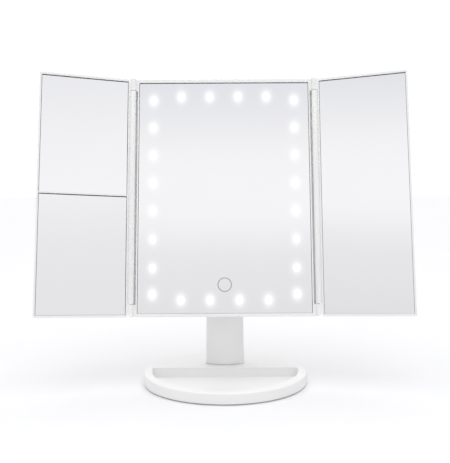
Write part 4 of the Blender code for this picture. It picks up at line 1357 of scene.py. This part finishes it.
@dataclass
class Innards:
    """Small pieces inside the head and base, which show when the battery door is off."""

    nodes: dict[str, Obj]
    slots: dict[str, str]
    eased: tuple[tuple[str, float], ...] = (
        ("battery_contact", 0.12), ("led_board", 0.1), ("usb_socket", 0.15), ("control_board", 0.12),
        ("base_weight", 0.3),
    )
    round_wire: tuple[str, ...] = ("battery_spring", "touch_spring", "battery_lead", "led_lead")

    def build(self) -> None:
        """Dresses every frame node, then finishes a copy of each small inner one."""
        for name, obj in sorted(self.nodes.items()):
            obj.data.materials.clear()
            obj.data.materials.append(SLOT_FINISH[self.slots[name]].material())
            width = next((value for start, value in self.eased if name.startswith(start)), 0.0)
            wire = name.startswith(self.round_wire)
            if not width and not wire:
                continue
            piece = Bench.refine(obj, width)
            body = "stand" if name == "base_weight" else "head"
            angle = 60.0 if wire else 32.0
            Bench.fit(piece, name + "_finished", Matrix(), body, self.slots[name], name, angle=angle)


@dataclass
class Studio:
    """White table, soft daylight from all round, a large soft box overhead, and the camera."""

    camera_at: Point = (0.5, -565.1, 185.1)
    pitch: float = 4.87
    roll: float = -0.285
    lens: float = 49.44
    table_radius: float = 6.0  # metres
    # the room's light by the sine of how far a direction faces backwards or upwards: start, end, value
    side_walls: tuple[str, float, float, Point] = ("Y", -0.55, -0.25, (0.5, 0.5, 0.51))
    backdrop: tuple[str, float, float, Point] = ("Y", 0.78, 0.9, (1.07, 1.07, 1.07))
    ceiling: tuple[str, float, float, Point] = ("Z", 0.62, 0.88, (1.68, 1.68, 1.68))
    box_at: Point = (0.0, 0.1, 0.9)  # metres
    box_size: Span = (1.6, 1.2)
    box_power: float = 0.6
    room_top: float = 50.0  # degrees
    # what the mirrors face, by its height in degrees: dim at the floor, brightest a third of the way up
    room: tuple[tuple[float, str], ...] = (
        (0.0, "a8a8aa"), (7.0, "c0c0c2"), (10.5, "e7e7e9"), (12.4, "eaeaec"), (16.0, "eeeef0"),
        (17.5, "f3f3f5"), (18.7, "f8f8fa"), (20.0, "fbfbfd"), (21.4, "fcfcfe"), (23.6, "fcfcfe"),
        (25.8, "f9f9fb"), (27.6, "f4f4f6"), (30.2, "ecedf0"), (32.0, "e8e9ee"), (36.0, "e8e9ee"),
        (50.0, "f4f4f6"),
    )

    def build_table(self) -> None:
        """Adds the white table top."""
        bpy.ops.object.select_all(action="DESELECT")
        bpy.ops.mesh.primitive_circle_add(vertices=96, radius=self.table_radius, fill_type="NGON")
        table = bpy.context.object
        table.name = "white_table"
        table.data.materials.append(LAMINATE.material())

    def build_sky(self) -> None:
        """Adds the studio's daylight: white all round, softer in the room that the mirrors face."""
        world = bpy.data.worlds.new("studio_daylight")
        bpy.context.scene.world = world
        world.use_nodes = True
        tree = world.node_tree
        tree.nodes.clear()
        parts = add_node(tree, "SeparateXYZ", {"Vector": add_node(tree, "TexCoord").outputs["Generated"]})
        height = add_node(tree, "Math", {0: parts.outputs["Z"]}, operation="ARCSINE")
        top = math.radians(self.room_top)
        share = add_node(tree, "MapRange", {"Value": height.outputs[0], "From Max": top})
        stops = [(angle / self.room_top, code) for angle, code in self.room]
        light = add_node(tree, "ValToRGB", {"Fac": share.outputs["Result"]}, stops)
        for axis, start, end, value in (self.side_walls, self.backdrop, self.ceiling):
            share = add_node(
                tree, "MapRange", {"Value": parts.outputs[axis], "From Min": start, "From Max": end},
                interpolation_type="SMOOTHSTEP",
            )
            light = add_node(tree, "MixRGB", {
                "Fac": share.outputs["Result"], "Color1": light.outputs["Color"], "Color2": (*value, 1.0),
            })
        glow = add_node(tree, "Background", {"Color": light.outputs["Color"], "Strength": 1.0})
        add_node(tree, "OutputWorld", {"Surface": glow.outputs["Background"]})

    def build_soft_box(self) -> None:
        """Adds the overhead soft box."""
        lamp = bpy.data.lights.new("overhead_soft_box", "AREA")
        lamp.shape = "RECTANGLE"
        lamp.size, lamp.size_y = self.box_size
        lamp.energy = self.box_power
        obj = bpy.data.objects.new("overhead_soft_box", lamp)
        obj.location = self.box_at
        bpy.context.scene.collection.objects.link(obj)

    def build_camera(self) -> None:
        """Adds the camera."""
        data = bpy.data.cameras.new("viewpoint")
        data.lens = self.lens
        data.sensor_width = data.sensor_height = 36.0
        data.sensor_fit = "VERTICAL"
        camera = bpy.data.objects.new("viewpoint", data)
        bpy.context.scene.collection.objects.link(camera)
        raised = Matrix.Rotation(math.radians(90 - self.pitch), 4, "X")
        rolled = Matrix.Rotation(math.radians(self.roll), 4, "Z")
        camera.matrix_world = shift(*self.camera_at) @ raised @ rolled
        bpy.context.scene.camera = camera

    def build(self) -> None:
        """Sets up the studio."""
        self.build_table()
        self.build_sky()
        self.build_soft_box()
        self.build_camera()
        view = bpy.context.scene.view_settings
        view.view_transform = "Standard"
        view.look = "None"


def head_place(joints: list[dict]) -> tuple[Matrix, float]:
    """Works out where the head stands from its joints.

    Args:
        joints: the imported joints.

    Returns:
        The matrix from the head's frame to the world, and how far the head leans back, in degrees.
    """
    named = {joint["name"]: joint for joint in joints}
    along_hinge = Vector(named["left_wing_hinge"]["axis"])
    lean = math.atan2(along_hinge.y, along_hinge.z)
    tilt = Matrix.Translation(Vector(named["head_tilt"]["pos_m"])) @ Matrix.Rotation(-lean, 4, "X")
    return tilt @ shift(0.0, *(-value for value in HeadBack.axis)), math.degrees(lean)


def main() -> None:
    """Builds the mirror around its frame."""
    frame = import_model()
    nodes = frame["nodes"]
    slots = {part["node"]: part["material_slot"] for part in frame["record"]["subparts"]}
    place, lean = head_place(frame["joints"])
    Studio().build()
    Stand(nodes).build()
    HeadFront(place, lean, nodes).build()
    HeadBack(place).build()
    hinge_x, hinge_y = HeadFront.hinge
    for word, side, glazing in (("left", -1, Glazing.MAGNIFYING_PAIR), ("right", 1, Glazing.PLAIN)):
        fold = Matrix.Rotation(math.radians(-side * WING_FOLD), 4, "Z")
        Wing(word, side, place @ shift(side * hinge_x, hinge_y, 0.0) @ fold, glazing).build()
    Innards(nodes, slots).build()


if __name__ == "__main__":
    logging.basicConfig(level=logging.INFO)
    main()
